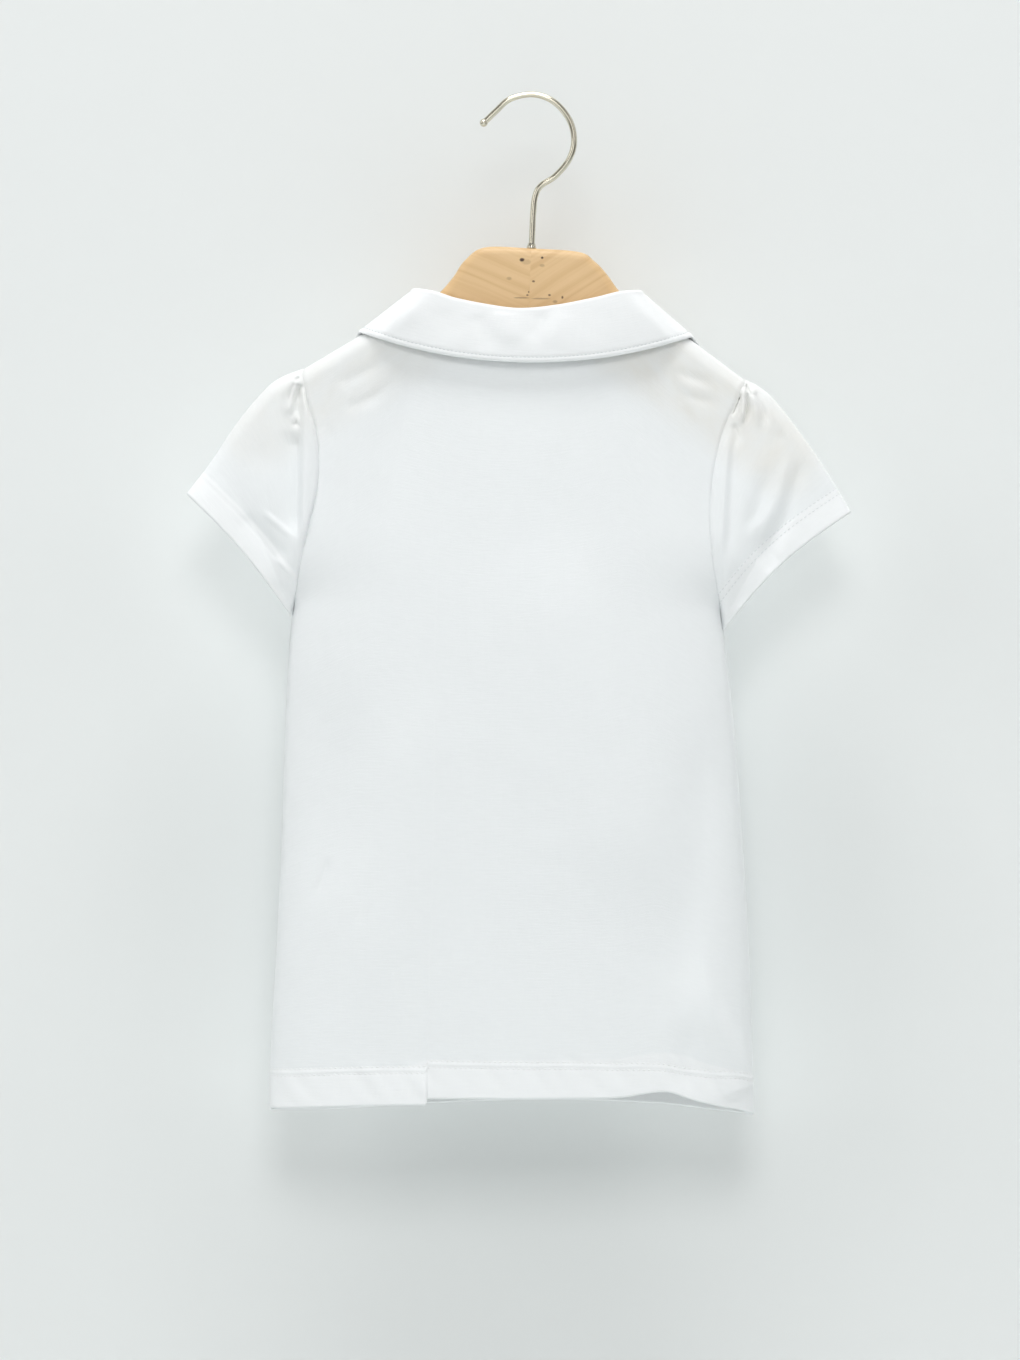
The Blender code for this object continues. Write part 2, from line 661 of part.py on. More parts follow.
def make_ferrule(name, parent, material, collection):
    """The small ring round the wire's foot, where it enters the wood."""
    inner = WIRE_DIAMETER / 2 + FERRULE_CLEARANCE
    bottom = JOINT_TOP - 2 * FERRULE_CLEARANCE
    profile = (
        (inner, bottom - FERRULE_HEIGHT),
        (inner + 0.2, bottom - FERRULE_HEIGHT),
        (FERRULE_RADIUS, bottom - FERRULE_HEIGHT * 0.4),
        (FERRULE_RADIUS, bottom),
        (inner, bottom),
    )
    mesh = bpy.data.meshes.new(name)
    corners = [(radius * MM, 0.0, -drop * MM) for radius, drop in profile]
    count = len(corners)
    mesh.from_pydata(corners, [(i, (i + 1) % count) for i in range(count)], [])
    mesh.materials.append(material)
    ring = bpy.data.objects.new(name, mesh)
    ring.location.x = JOINT_X * MM
    ring.parent = parent
    collection.objects.link(ring)
    screw = ring.modifiers.new("turned", "SCREW")
    screw.steps = 20
    screw.render_steps = 20
    screw.use_merge_vertices = True
    screw.merge_threshold = 0.00001
    return ring


def main():
    clear_scene()
    collection = new_collection("peter_pan_collar_tshirt_on_hanger")
    jersey = new_material("white_jersey")
    collar_jersey = new_material("white_collar_jersey")
    wood = new_material("pale_wood")
    nickel = new_material("satin_nickel")

    cloth_piece("back_panel", panel_points(BACK), CLOTH_WALL, jersey, collection)
    cloth_piece("front_panel", panel_points(FRONT), CLOTH_WALL, jersey, collection)
    cloth_piece("sleeve_left", sleeve_points(LEFT), CLOTH_WALL, jersey, collection, closed=True)
    cloth_piece("sleeve_right", sleeve_points(RIGHT), CLOTH_WALL, jersey, collection, closed=True)
    cloth_piece("collar", collar_points(), COLLAR_WALL, collar_jersey, collection)

    hanger = bpy.data.objects.new("hanger_frame", None)
    hanger.rotation_euler = (0.0, HANGER_TILT, 0.0)
    collection.objects.link(hanger)
    blank = make_hanger_blank()
    hanger_arm("hanger_arm_left", LEFT, blank, hanger, wood, collection)
    hanger_arm("hanger_arm_right", RIGHT, blank, hanger, wood, collection)
    bpy.data.meshes.remove(blank)
    make_hook("hanger_hook", hanger, nickel, collection)
    make_ferrule("hook_ferrule", hanger, nickel, collection)


main()
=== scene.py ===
"""A child's white peter pan collar t-shirt on a pale wooden hanger.

The shirt's back faces -Y, its front +Y, and the origin is the inside top of the hook.
Sizes in the tables are in millimetres, and a drop is a distance below the origin.
"""
import math
from functools import partial

import bpy
import numpy as np
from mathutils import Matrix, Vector


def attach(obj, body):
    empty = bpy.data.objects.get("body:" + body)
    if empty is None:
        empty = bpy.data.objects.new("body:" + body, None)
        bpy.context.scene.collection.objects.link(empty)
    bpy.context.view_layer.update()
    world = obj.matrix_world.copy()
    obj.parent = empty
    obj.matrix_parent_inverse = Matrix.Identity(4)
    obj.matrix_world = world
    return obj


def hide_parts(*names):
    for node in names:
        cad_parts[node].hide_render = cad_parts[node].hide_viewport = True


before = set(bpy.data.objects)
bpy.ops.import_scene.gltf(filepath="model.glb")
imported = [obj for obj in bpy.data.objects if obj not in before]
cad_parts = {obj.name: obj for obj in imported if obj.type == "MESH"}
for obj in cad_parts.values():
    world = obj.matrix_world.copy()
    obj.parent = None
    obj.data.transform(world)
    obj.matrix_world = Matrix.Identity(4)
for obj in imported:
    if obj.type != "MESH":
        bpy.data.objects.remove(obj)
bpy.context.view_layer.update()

MM = 0.001
BACK = -1
FRONT = 1
LEFT = -1
RIGHT = 1

# ---- The pattern of the shirt --------------------------------------------------

JERSEY_THICKNESS = 0.7
COLLAR_THICKNESS = 1.3

SHOULDER_POINT = {LEFT: (-119.6, 141.5), RIGHT: (110.2, 147.2)}
NECK_POINT = {LEFT: (-62.9, 107.7), RIGHT: (55.6, 106.4)}
SHOULDER_ROUND = 7.9      # how far below its seam the shoulder has turned to hang straight
UNDERARM = {LEFT: (-124.8, 264.7), RIGHT: (97.8, 268.3)}

# The panels' sides, armhole seams and then side seams: (drop, left x, right x)
SIDE_EDGES = (
    (146.0, -119.4, 110.0),
    (158.0, -117.0, 105.2),
    (172.0, -112.8, 99.0),
    (188.0, -111.0, 94.6),
    (204.0, -111.8, 92.2),
    (221.0, -115.6, 91.4),
    (237.0, -119.4, 92.4),
    (252.0, -122.2, 94.8),
    (268.0, -124.9, 97.6),
    (300.6, -127.4, 101.4),
    (339.6, -129.0, 105.2),
    (391.6, -130.6, 108.8),
    (443.6, -133.2, 111.8),
    (495.6, -136.0, 113.6),
    (528.0, -136.4, 114.4),
)
# Hems: (x, drop of the back hem, drop of the front hem)
HEMS = (
    (-136.4, 522.6, 526.4),
    (-118.0, 521.6, 527.2),
    (-100.0, 520.8, 527.0),
    (-70.0, 519.9, 525.2),
    (-40.0, 519.8, 523.8),
    (-10.0, 519.8, 522.8),
    (20.0, 519.6, 522.6),
    (45.0, 519.2, 523.4),
    (57.0, 517.4, 524.0),
    (69.0, 516.4, 524.6),
    (82.0, 520.6, 526.0),
    (98.0, 524.6, 527.6),
    (108.0, 526.6, 528.4),
    (114.4, 529.4, 528.6),
)
HEM_STEP_X = -55.0        # where a small pleat steps the back hem up
HEM_STEP_HALF = 1.6       # half the height of that step
HEM_STEP_SOFT = 0.3
PLEAT_HEIGHT = 0.9
PLEAT_EDGE = 1.6          # width over which the pleat ends at the step
PLEAT_REACH = 16.0        # over which the pleat dies away to the left
PLEAT_TOP = 498.0         # the drop at which it starts
PLEAT_FADE = 12.0
HEM_DEPTH = 19.5          # of the turned hem, up to its upper row of stitches
# The same on the back, where the hem arches up but its stitches hardly do: (x, depth)
BACK_HEM_DEPTHS = (
    (-136.0, 19.5),
    (-60.0, 19.2),
    (-26.0, 18.6),
    (30.0, 17.8),
    (50.0, 16.4),
    (69.0, 13.6),
    (82.0, 15.6),
    (95.0, 17.6),
    (114.0, 20.3),
)
HEM_ROWS_APART = 3.4
HEM_PUCKER = 0.30

# Half the body's depth in the middle of the shirt: (drop, depth)
BODY_DEPTHS = (
    (98.0, 9.4),
    (125.0, 10.0),
    (160.0, 11.4),
    (205.0, 15.0),
    (268.0, 20.5),
    (350.0, 25.0),
    (450.0, 28.0),
    (530.0, 29.0),
)
SECTION_POWER = 3.0
ARMHOLE_REACH = 0.70
UNDERARM_TURN = 42.0

NECK_DIP = {BACK: 11.0, FRONT: 55.0}
NECK_CURVE = {BACK: 2.2, FRONT: 2.6}
SHOULDER_SHARE = 5 / 24   # of a panel's columns that end on each shoulder seam
ARMHOLE_SHARE = 0.52      # of a panel's rows that end on the armholes

SLEEVE_TOPS = {           # from the shoulder points out to the cuffs
    LEFT: (SHOULDER_POINT[LEFT], (-130.6, 145.8), (-138.0, 151.0), (-153.0, 168.6), (-167.4, 190.0),
           (-179.6, 206.0)),
    RIGHT: (SHOULDER_POINT[RIGHT], (116.4, 150.2), (124.0, 156.2), (136.4, 171.6), (149.4, 190.0),
            (164.8, 215.4)),
}
CUFF_UNDER = {LEFT: (-125.1, 269.6), RIGHT: (98.3, 276.8)}
CUFF_HOLLOW = {LEFT: 2.0, RIGHT: 3.4}
CUFF_HALF_DEPTH = 12.5
SLEEVE_POWER = 2.6
SLEEVE_PUFF = 2.2
CUFF_HEM = 14.0           # from the sleeve's edge to its upper row of stitches
CUFF_ROWS_APART = 3.2
CUFF_PUCKER = 0.22
TURNED_PAST = 1.5         # how far a turned hem's cloth reaches past its upper row of stitches
TURNED_FADE = 1.6
DOUBLED_SWELL = 0.10      # how much further out the cloth stands where it is double
HEM_RIDGE = 0.12          # height of the cloth between a hem's two rows of stitches
STITCH_DIP = 0.16         # how far a row of stitches sinks into its hem
STITCH_PROUD = 0.08       # how far a stitch's middle stands off the cloth
STITCH_ARCH = 0.22        # how much lower its ends are
HEM_STITCH = (2.7, 2.1, 0.55)      # pitch, length and thickness
CUFF_STITCH = (2.6, 2.0, 0.55)
TOPSTITCH = (2.1, 1.5, 0.42)
PANEL_SEAM_DIP = 0.14     # how far the cloth turns in along an armhole seam, on the panels
SLEEVE_SEAM_DIP = 0.2     # and on the sleeves
SHOULDER_SEAM_DIP = 0.5   # and down along the shoulder seams
LEAST_DEPTH = 0.02        # of a panel's middle surface from the plane of the side seams
FAR = 99.0                # a distance at which seams and edges no longer matter

# The top of the collar across the back: (x, drop)
ROLL_LINE = (
    (-60.2, 99.6),
    (-50.3, 101.8),
    (-40.6, 105.0),
    (-20.0, 109.0),
    (-6.5, 110.4),
    (11.4, 108.8),
    (32.2, 104.8),
    (44.5, 101.8),
    (54.0, 100.6),
)
FALL_EDGE_ENDS = {LEFT: (-90.7, 122.1), RIGHT: (83.0, 124.5)}
FALL_EDGE_DIP = 15.0
FALL_EDGE_CURVE = 2.1
ROLL_RADIUS = 1.5
FALL_LIFT = {BACK: 2.2, FRONT: 2.0}
FALL_RISE = 2.6           # how much further the fall stands off at the middle of the back
FALL_BOW = 1.1
FALL_BOW_LENGTH = 27.0    # a fall at least this long takes the whole bow
FALL_STEPS = 12
LAYERS_APART = (1.2 + 1.6) / 2     # from the middle of the shirt's cloth to that of the collar on it
STAND_START = 0.2         # how far up its stand the collar leaves the neck seam
STAND_SHARES = (0.0, 0.2, 0.45, 0.75)
ROLL_STEP = 20            # degrees
SHOULDER_EASE = 2.6       # over which the collar rounds where it crosses the shoulders
SHOULDER_EASE_REACH = 12.0         # to each side of a crossing
LEAST_EASE = 0.01
LEAST_SLANT = 0.35
SLANT_WINDOW = 9          # stations over which the slant of the collar's edge is averaged
SHOULDER_CLEARANCE = 0.3
FALL_CLEARANCE = 1.1
FRONT_STAND = 4.2
LEAF_WIDTH = 44.0
LEAF_SPREAD = {LEFT: 3.4, RIGHT: 6.0}   # how soon the leaf reaches its full width
LEAF_LAST_ANGLE = math.radians(84)      # how steeply it runs down at the middle of the front
LEAF_ROUND = 0.34
LEAF_END_WIDTH = 7.0
LEAF_GAP = 0.8
TOPSTITCH_INSET = 2.3
TOPSTITCH_DIP = 0.24
TOPSTITCH_SINK = 0.12     # of its thread below the collar's face
EDGE_PUFF = 0.16          # of the collar between its stitches and its edge

# Steps of the grids that the cloth is made on, as (start, spacing up to the next start). They are shares of
# an edge, but millimetres in the hem.
PANEL_COLUMNS = (
    (0, 0.008),
    (SHOULDER_SHARE, 0.0085),
    (0.377, 0.0012),      # close steps where the pleat crosses the hem
    (0.395, 0.0085),
    (1 - SHOULDER_SHARE, 0.008),
    (1, 0.008),
)
HEM_GRID = ((0, 0.5), (1.5, 1.3), (8.5, 0.55), (HEM_DEPTH + 3.0, 2.2))
ARMHOLE_GRID = ((0, 0.011), (1, 0.011))
SLEEVE_COLUMNS = 300
SLEEVE_ROWS = ((0, 0.006), (0.20, 0.014), (0.70, 0.010), (1, 0.010))
COLLAR_BACK_STEPS = 76
COLLAR_FRONT_STEPS = 46
# Distances of the collar's last grid rows from its edge
EDGE_STEPS = (8.0, 6.0, 4.6, 3.6, 3.0, 2.6, 2.3, 2.0, 1.6, 1.1, 0.6, 0.25, 0.0)

# ---- Folds -----------------------------------------------------------------------
# Each one: height out of the cloth (less than 0 for a hollow), width on its left and right,
# length of its fade at the start and end, and the (x, drop) points that it runs through.

PANEL_FOLD_STRENGTH = 1.5
FOLD_FADE_DEPTH = 9.0     # folds are full where the body is at least this deep
BACK_FOLDS = (
    (1.8, 34, 20, 60, 60, (4.6, 221), (36, 339), (56, 434)),
    (-1.5, 15, 13, 60, 40, (90, 310), (82, 402), (75, 484)),
    (2.0, 15, 5, 60, 6, (80, 420), (91.5, 470), (109, 504), (113.9, 518)),
    (-0.5, 6, 6, 24, 8, (86, 468), (80.5, 494), (78, 516)),
    (-1.6, 20, 22, 60, 60, (-97.8, 287), (-102, 360), (-104, 430)),
    (0.8, 16, 18, 50, 60, (-66, 300), (-72, 400), (-84, 500)),
    (-0.5, 1.6, 2.4, 6, 9, (-106.5, 394), (-109, 404), (-113.5, 417)),
    (-0.35, 1.8, 1.4, 5, 5, (-84, 418), (-91, 431)),
    (-0.3, 2.2, 1.6, 5, 6, (-62, 444), (-76, 457)),
    (-0.4, 1.2, 1.5, 2, 8, (-111, 169.8), (-106.6, 174), (-102.0, 181.5)),
    (-0.3, 1.2, 1.5, 4, 6, (-110, 192), (-103.5, 186)),
    (0.7, 3.6, 6.0, 10, 24, (68, 134), (80, 152), (84, 176)),
    (-0.6, 2.6, 3.4, 8, 10, (70, 141), (83, 147), (95, 150)),
    (-0.5, 2.4, 3.0, 6, 12, (76, 154), (88, 158.5), (99, 158)),
    (-0.45, 3.0, 3.4, 8, 14, (-104, 150), (-88, 144), (-74, 134)),
    (-0.5, 3.4, 2.6, 8, 18, (-100, 162), (-86, 158), (-70, 146)),
    (-0.9, 9, 11, 20, 60, (-62, 128), (-70, 170), (-76, 232)),
    (-0.8, 11, 9, 20, 60, (56, 128), (64, 172), (70, 236)),
    (0.25, 7, 10, 20, 30, (-20, 330), (8, 352), (30, 356)),
    (-0.15, 4, 5, 14, 14, (-14, 384), (6, 378), (24, 384)),
    (-0.12, 3, 4, 12, 12, (-6, 402), (12, 398), (27, 403)),
)
FRONT_FOLDS = (
    (1.1, 26, 22, 60, 60, (-30, 230), (-44, 340), (-60, 450)),
    (-1.3, 14, 16, 50, 30, (-78, 330), (-86, 420), (-92, 512)),
    (1.4, 7, 15, 50, 8, (-92, 430), (-106, 486), (-117, 520)),
    (-1.2, 18, 18, 60, 60, (74, 290), (78, 370), (70, 470)),
    (0.9, 16, 14, 40, 60, (30, 380), (38, 450), (52, 516)),
    (-0.8, 10, 9, 18, 70, (-58, 160), (-62, 200), (-74, 256)),
    (-0.9, 9, 10, 18, 70, (52, 164), (60, 206), (76, 262)),
    (-0.5, 2.4, 3.4, 10, 12, (80, 146), (88, 160), (92, 178)),
    (-0.5, 3.2, 2.4, 10, 14, (-92, 146), (-100, 162), (-104, 184)),
    (-0.4, 2.2, 1.8, 6, 8, (66, 402), (76, 415)),
    (0.6, 6, 9, 30, 26, (-12, 250), (0, 300), (-4, 350)),
)
BACK_SLEEVE_FOLDS = {
    LEFT: (
        (1.7, 4.0, 1.2, 2, 7, (-122.4, 147), (-125.0, 157), (-126.4, 168)),
        (-2.5, 2.4, 1.9, 2, 5, (-120.6, 149), (-122.0, 158), (-122.8, 168)),
        (1.1, 1.2, 1.2, 4, 3, (-121.6, 156), (-122.6, 162), (-122.8, 167)),
        (-1.6, 2.0, 2.4, 2, 2, (-125.0, 168.6), (-122.4, 170.2), (-120.8, 169.6)),
        (1.0, 1.2, 1.6, 1, 9, (-122.4, 143.8), (-126, 148), (-131, 158)),
        (-1.1, 1.1, 1.2, 1, 10, (-121.4, 145.4), (-125, 152), (-128, 164)),
        (2.5, 1.8, 6.5, 4, 18, (-118.3, 150), (-118.1, 168), (-118.2, 190), (-118.4, 214), (-120.2, 238)),
        (-2.6, 7, 2.2, 10, 14, (-122.2, 172), (-122.4, 196), (-122.8, 232)),
        (-0.7, 8, 7, 18, 18, (-146, 172), (-140, 190), (-136, 204)),
        (0.8, 2.0, 1.2, 7, 7, (-141, 214.5), (-131, 223), (-122.5, 230.5)),
        (-1.1, 5.5, 4.0, 8, 8, (-152, 216), (-140, 228), (-126, 242)),
        (0.7, 1.6, 1.6, 6, 4, (-135, 238.5), (-127, 246), (-120.6, 252)),
        (-0.8, 3.0, 3.0, 5, 4, (-137, 252), (-129, 257), (-122.7, 259)),
    ),
    RIGHT: (
        (-2.4, 0.9, 0.9, 1, 4, (110.0, 149.4), (111.6, 152.6), (114.0, 157)),
        (-2.9, 0.9, 0.9, 1, 5, (107.6, 154.8), (105.2, 160.5), (102.8, 167)),
        (2.4, 1.2, 1.1, 1, 7, (108.7, 151.6), (109.2, 159), (108.0, 171)),
        (-2.0, 1.0, 1.3, 2, 8, (110.9, 154), (110.9, 161), (109.8, 172)),
        (1.3, 1.5, 2.0, 2, 12, (112.0, 152), (114.8, 160), (116.6, 175)),
        (-1.2, 1.3, 2.0, 3, 10, (114.0, 153), (118.8, 161.5), (121.4, 174)),
        (-1.1, 2.0, 2.0, 4, 10, (103.6, 169), (105.6, 176), (104, 186)),
        (1.3, 5.0, 2.0, 12, 16, (101.2, 172), (98.6, 205), (96.8, 242)),
        (-0.9, 2.6, 5.0, 12, 16, (105, 180), (102.6, 208), (101.2, 242)),
        (-1.1, 4.4, 4.4, 14, 12, (123, 190), (117, 210), (110.5, 230)),
        (0.9, 3.6, 4.0, 14, 14, (132.4, 184), (125, 214), (108.4, 231)),
        (-1.2, 4.6, 4.6, 14, 10, (140, 186), (133, 209), (126, 228), (116, 244)),
        (-0.5, 4.0, 4.0, 8, 10, (121, 174), (128, 178), (134, 182)),
        (-0.6, 4.0, 5.0, 5, 5, (128, 236), (119, 248)),
    ),
}
FRONT_SLEEVE_FOLDS = {
    LEFT: (
        (-1.6, 1.3, 1.2, 1, 6, (-119.4, 146), (-118.6, 156), (-116.4, 168)),
        (1.3, 1.3, 1.5, 1, 8, (-120.4, 145), (-121.2, 158), (-119.6, 172)),
        (-1.3, 1.3, 1.2, 2, 8, (-122.0, 146), (-124.6, 158), (-125.4, 172)),
        (0.9, 1.8, 1.6, 2, 12, (-123.4, 145), (-129, 158), (-131, 176)),
        (-0.9, 5, 4, 14, 14, (-136, 176), (-132, 200), (-126, 226)),
        (0.8, 4, 4, 12, 12, (-146, 184), (-141, 208), (-130, 232)),
        (-0.9, 5, 4, 12, 10, (-156, 196), (-150, 214), (-140, 234)),
    ),
    RIGHT: (
        (-1.5, 1.2, 1.3, 1, 6, (109.6, 151), (107.6, 159), (104, 169)),
        (1.3, 1.4, 1.3, 1, 8, (110.4, 151), (110.6, 162), (108.8, 175)),
        (-1.2, 1.2, 1.4, 2, 9, (112.0, 152), (114.4, 163), (114.6, 177)),
        (0.8, 1.6, 2.0, 2, 12, (114.0, 152), (119.4, 164), (121, 182)),
        (-0.9, 4, 5, 14, 14, (126, 186), (121, 206), (113, 232)),
        (0.8, 4, 4, 12, 12, (134, 192), (129, 214), (119, 236)),
        (-0.8, 4, 5, 12, 10, (146, 204), (138, 220), (128, 240)),
    ),
}
COLLAR_FOLDS = (
    (1.3, 5, 5, 5, 8, (-16, 110), (-14.6, 118), (-10, 131)),
    (-1.1, 6, 5, 6, 8, (-30, 112), (-26, 121), (-18, 133)),
    (-1.0, 4, 5, 5, 6, (4, 111), (3, 119), (-3, 128)),
    (0.7, 6, 6, 6, 8, (15, 111), (13, 120), (5, 131)),
    (-0.8, 8, 8, 8, 8, (-46, 108), (-45, 118), (-40, 128)),
    (-0.4, 7, 8, 8, 8, (36, 108), (34, 117), (26, 128)),
    (0.4, 8, 8, 8, 8, (-60, 106), (-64, 114), (-62, 122)),
)


# ---- The shirt's surface -----------------------------------------------------------

def mix(a, b, share):
    """A value at a share of the way from one to another."""
    return a + (b - a) * share


def smooth_step(share):
    """A share eased at both ends and held between 0 and 1."""
    share = np.clip(share, 0.0, 1.0)
    return share * share * (3.0 - 2.0 * share)


def unit(vectors):
    """The same directions, each one long."""
    return vectors / np.maximum(np.linalg.norm(vectors, axis=-1, keepdims=True), 1e-9)


def reach_along(points):
    """How far along a line each of its points lies."""
    return np.concatenate(([0.0], np.cumsum(np.linalg.norm(np.diff(points, axis=0), axis=-1))))


def read_along(reach, values, at):
    """Rows of values read off at some distances along a line."""
    return np.stack([np.interp(at, reach, values[:, axis]) for axis in range(3)], axis=1)


def from_step(dx, dz, step_x, step_z):
    """Distance to a straight step of a line, from places measured from its start."""
    share = np.clip((dx * step_x + dz * step_z) / (step_x ** 2 + step_z ** 2), 0, 1)
    return np.hypot(dx - share * step_x, dz - share * step_z)


def table_curve(rows, at, column=1):
    """Values on the smooth curve through one column of a table sorted by its first column."""
    keys = np.array([row[0] for row in rows])
    values = np.array([row[column] for row in rows])
    slopes = np.gradient(values) / np.gradient(keys)
    at = np.clip(at, keys[0], keys[-1])
    index = np.clip(np.searchsorted(keys, at, side="right") - 1, 0, len(keys) - 2)
    span = keys[index + 1] - keys[index]
    t = (at - keys[index]) / span
    return ((1 + 2 * t) * (1 - t) ** 2 * values[index] + t * (1 - t) ** 2 * span * slopes[index]
            + t * t * (3 - 2 * t) * values[index + 1] - t * t * (1 - t) * span * slopes[index + 1])


def along(points, share):
    """Points at shares of the length of a smooth curve through a few points, as x and drop."""
    lengths = np.concatenate(([0.0], np.cumsum([math.dist(a, b) for a, b in zip(points, points[1:])])))
    at = np.asarray(share) * lengths[-1]
    return [table_curve([(length, point[axis]) for length, point in zip(lengths, points)], at)
            for axis in range(2)]


def below_shoulders(x, drop):
    """How far points lie below the line of the nearer shoulder seam, square to it."""
    distances = []
    for side in (LEFT, RIGHT):
        neck, point = NECK_POINT[side], SHOULDER_POINT[side]
        length = math.dist(neck, point)
        dx, down = (point[0] - neck[0]) / length, (point[1] - neck[1]) / length
        distances.append(abs(dx) * (drop - neck[1]) - side * down * (x - neck[0]))
    return np.minimum(*distances)


def side_x(side, drop):
    """The x of a panel's side at a drop."""
    return table_curve(SIDE_EDGES, drop, 1 if side == LEFT else 2)


def section_depth(x, drop):
    """Half the body's depth, before it narrows over the hanger's arms."""
    left, right = side_x(LEFT, drop), side_x(RIGHT, drop)
    middle = (left + right) / 2
    across = np.abs((x - middle) / ((right - left) / 2))
    underarm = np.where(x < middle, UNDERARM[LEFT][1], UNDERARM[RIGHT][1])
    reach = mix(1.0, ARMHOLE_REACH, smooth_step((underarm - drop) / UNDERARM_TURN))
    rounding = np.maximum(1.0 - np.minimum(reach * across, 1.0) ** SECTION_POWER, 0.0) ** (1 / SECTION_POWER)
    return table_curve(BODY_DEPTHS, drop) * rounding


def turn_short(x, drop):
    """How much of the shoulder's round a point still has to turn before it hangs straight."""
    return np.maximum(SHOULDER_ROUND - below_shoulders(x, drop), 0.0)


def layer_depth(x, drop, lift=0.0):
    """Distance from the plane of the side seams to a layer lying outside the middle of the cloth."""
    short = np.minimum(turn_short(x, drop) / (SHOULDER_ROUND + lift), 1.0)
    return (section_depth(x, drop) + lift) * np.sqrt(1.0 - short ** 2)


def neckline(face, share):
    """Points of the neckline, from the left neck point at 0 to the right one at 1."""
    (left_x, left_drop), (right_x, right_drop) = NECK_POINT[LEFT], NECK_POINT[RIGHT]
    hang = 1.0 - np.abs(2 * share - 1) ** NECK_CURVE[face]
    return mix(left_x, right_x, share), mix(left_drop, right_drop, share) + NECK_DIP[face] * hang


def neck_share(turn):
    """Steps along the neckline, closest together where it leaves the shoulder seams."""
    even = (1 - np.cos(math.pi * turn)) / 2
    return mix(even, (1 - np.cos(math.pi * even)) / 2, 0.25)


def top_edge(face, share):
    """A panel's top edge: shoulder seam, neckline, shoulder seam."""
    from_left = np.clip(share / SHOULDER_SHARE, 0.0, 1.0)
    from_right = np.clip((1 - share) / SHOULDER_SHARE, 0.0, 1.0)
    turn = np.clip((share - SHOULDER_SHARE) / (1 - 2 * SHOULDER_SHARE), 0.0, 1.0)
    neck = neckline(face, neck_share(turn))
    edge = []
    for axis in range(2):
        value = np.where(share < SHOULDER_SHARE,
                         mix(SHOULDER_POINT[LEFT][axis], NECK_POINT[LEFT][axis], from_left), neck[axis])
        edge.append(np.where(share > 1 - SHOULDER_SHARE,
                             mix(SHOULDER_POINT[RIGHT][axis], NECK_POINT[RIGHT][axis], from_right), value))
    return edge


def hem_edge(face, share):
    """Points of a panel's hem, from the left side at 0 to the right one at 1."""
    x = mix(HEMS[0][0], HEMS[-1][0], (1 - np.cos(math.pi * share)) / 2)
    drop = table_curve(HEMS, x, 1 if face == BACK else 2)
    if face == BACK:
        drop = drop + HEM_STEP_HALF * np.tanh((HEM_STEP_X - x) / HEM_STEP_SOFT)
    return x, drop


def hem_depth(face, x):
    """How far above the hem's edge its upper row of stitches runs."""
    return table_curve(BACK_HEM_DEPTHS, x) if face == BACK else np.full(np.shape(x), HEM_DEPTH)


def armhole(side, share):
    """Points of the armhole seam, from the shoulder point at 0 to the underarm at 1."""
    top, under = SHOULDER_POINT[side], UNDERARM[side]
    drop = mix(top[1], under[1], share)
    return mix(side_x(side, drop), top[0], np.clip(1.0 - share * 24, 0.0, 1.0)), drop


def blended(u, v, bottom, top, left, right, corners):
    """Coons patch of four edges: u across, v up, corners (bottom left, bottom right, top left, top right)."""
    point = []
    for axis in range(2):
        across = mix(left[axis], right[axis], u)
        upward = mix(bottom[axis], top[axis], v)
        flat = mix(mix(corners[0][axis], corners[1][axis], u), mix(corners[2][axis], corners[3][axis], u), v)
        point.append(across + upward - flat)
    return point


def relief(folds, x, drop):
    """Height of the cloth's folds out of its smooth form."""
    height = np.zeros(np.broadcast(x, drop).shape)
    for tall, left_width, right_width, start_fade, end_fade, *points in folds:
        share = np.linspace(0.0, 1.0, 4 * len(points) - 3)
        line_x, line_drop = along(points, share)
        nearest = np.full(height.shape, np.inf)
        offset = np.zeros(height.shape)
        travel = np.zeros(height.shape)
        length = 0.0
        for x0, drop0, x1, drop1 in zip(line_x, line_drop, line_x[1:], line_drop[1:]):
            step = math.hypot(x1 - x0, drop1 - drop0)
            dx, down = (x1 - x0) / step, (drop1 - drop0) / step
            ahead = (x - x0) * dx + (drop - drop0) * down
            held = np.clip(ahead, 0.0, step)
            away = np.hypot(x - x0 - held * dx, drop - drop0 - held * down)
            closer = away < nearest
            nearest = np.where(closer, away, nearest)
            offset = np.where(closer, (x - x0) * down - (drop - drop0) * dx, offset)
            travel = np.where(closer, length + ahead, travel)
            length += step
        width = np.where(offset < 0, left_width, right_width)
        across = np.exp(-(offset / width) ** 2)
        ends = smooth_step(travel / start_fade) * smooth_step((length - travel) / end_fade)
        height += tall * across * ends
    return height


def seam_dip(distance, depth=0.75, width=1.1):
    """How far the cloth turns in beside a seam."""
    return depth * np.exp(-(distance / width) ** 2)


def hem_puckers(x, from_edge, depth):
    """Small slanting puckers across a turned hem, uneven in strength along it."""
    slant = x + 0.7 * from_edge
    strength = 0.55 + 0.45 * np.sin(x / 17.0 + 1.3) * np.sin(x / 7.3)
    wave = np.sin(slant / 2.1 + 1.4 * np.sin(x / 11.0)) + 0.6 * np.sin(slant / 3.7 + 2.0)
    inside = smooth_step(from_edge / 5.0) * smooth_step((HEM_DEPTH + 5.0 - from_edge) / 7.0)
    return depth * strength * wave * inside


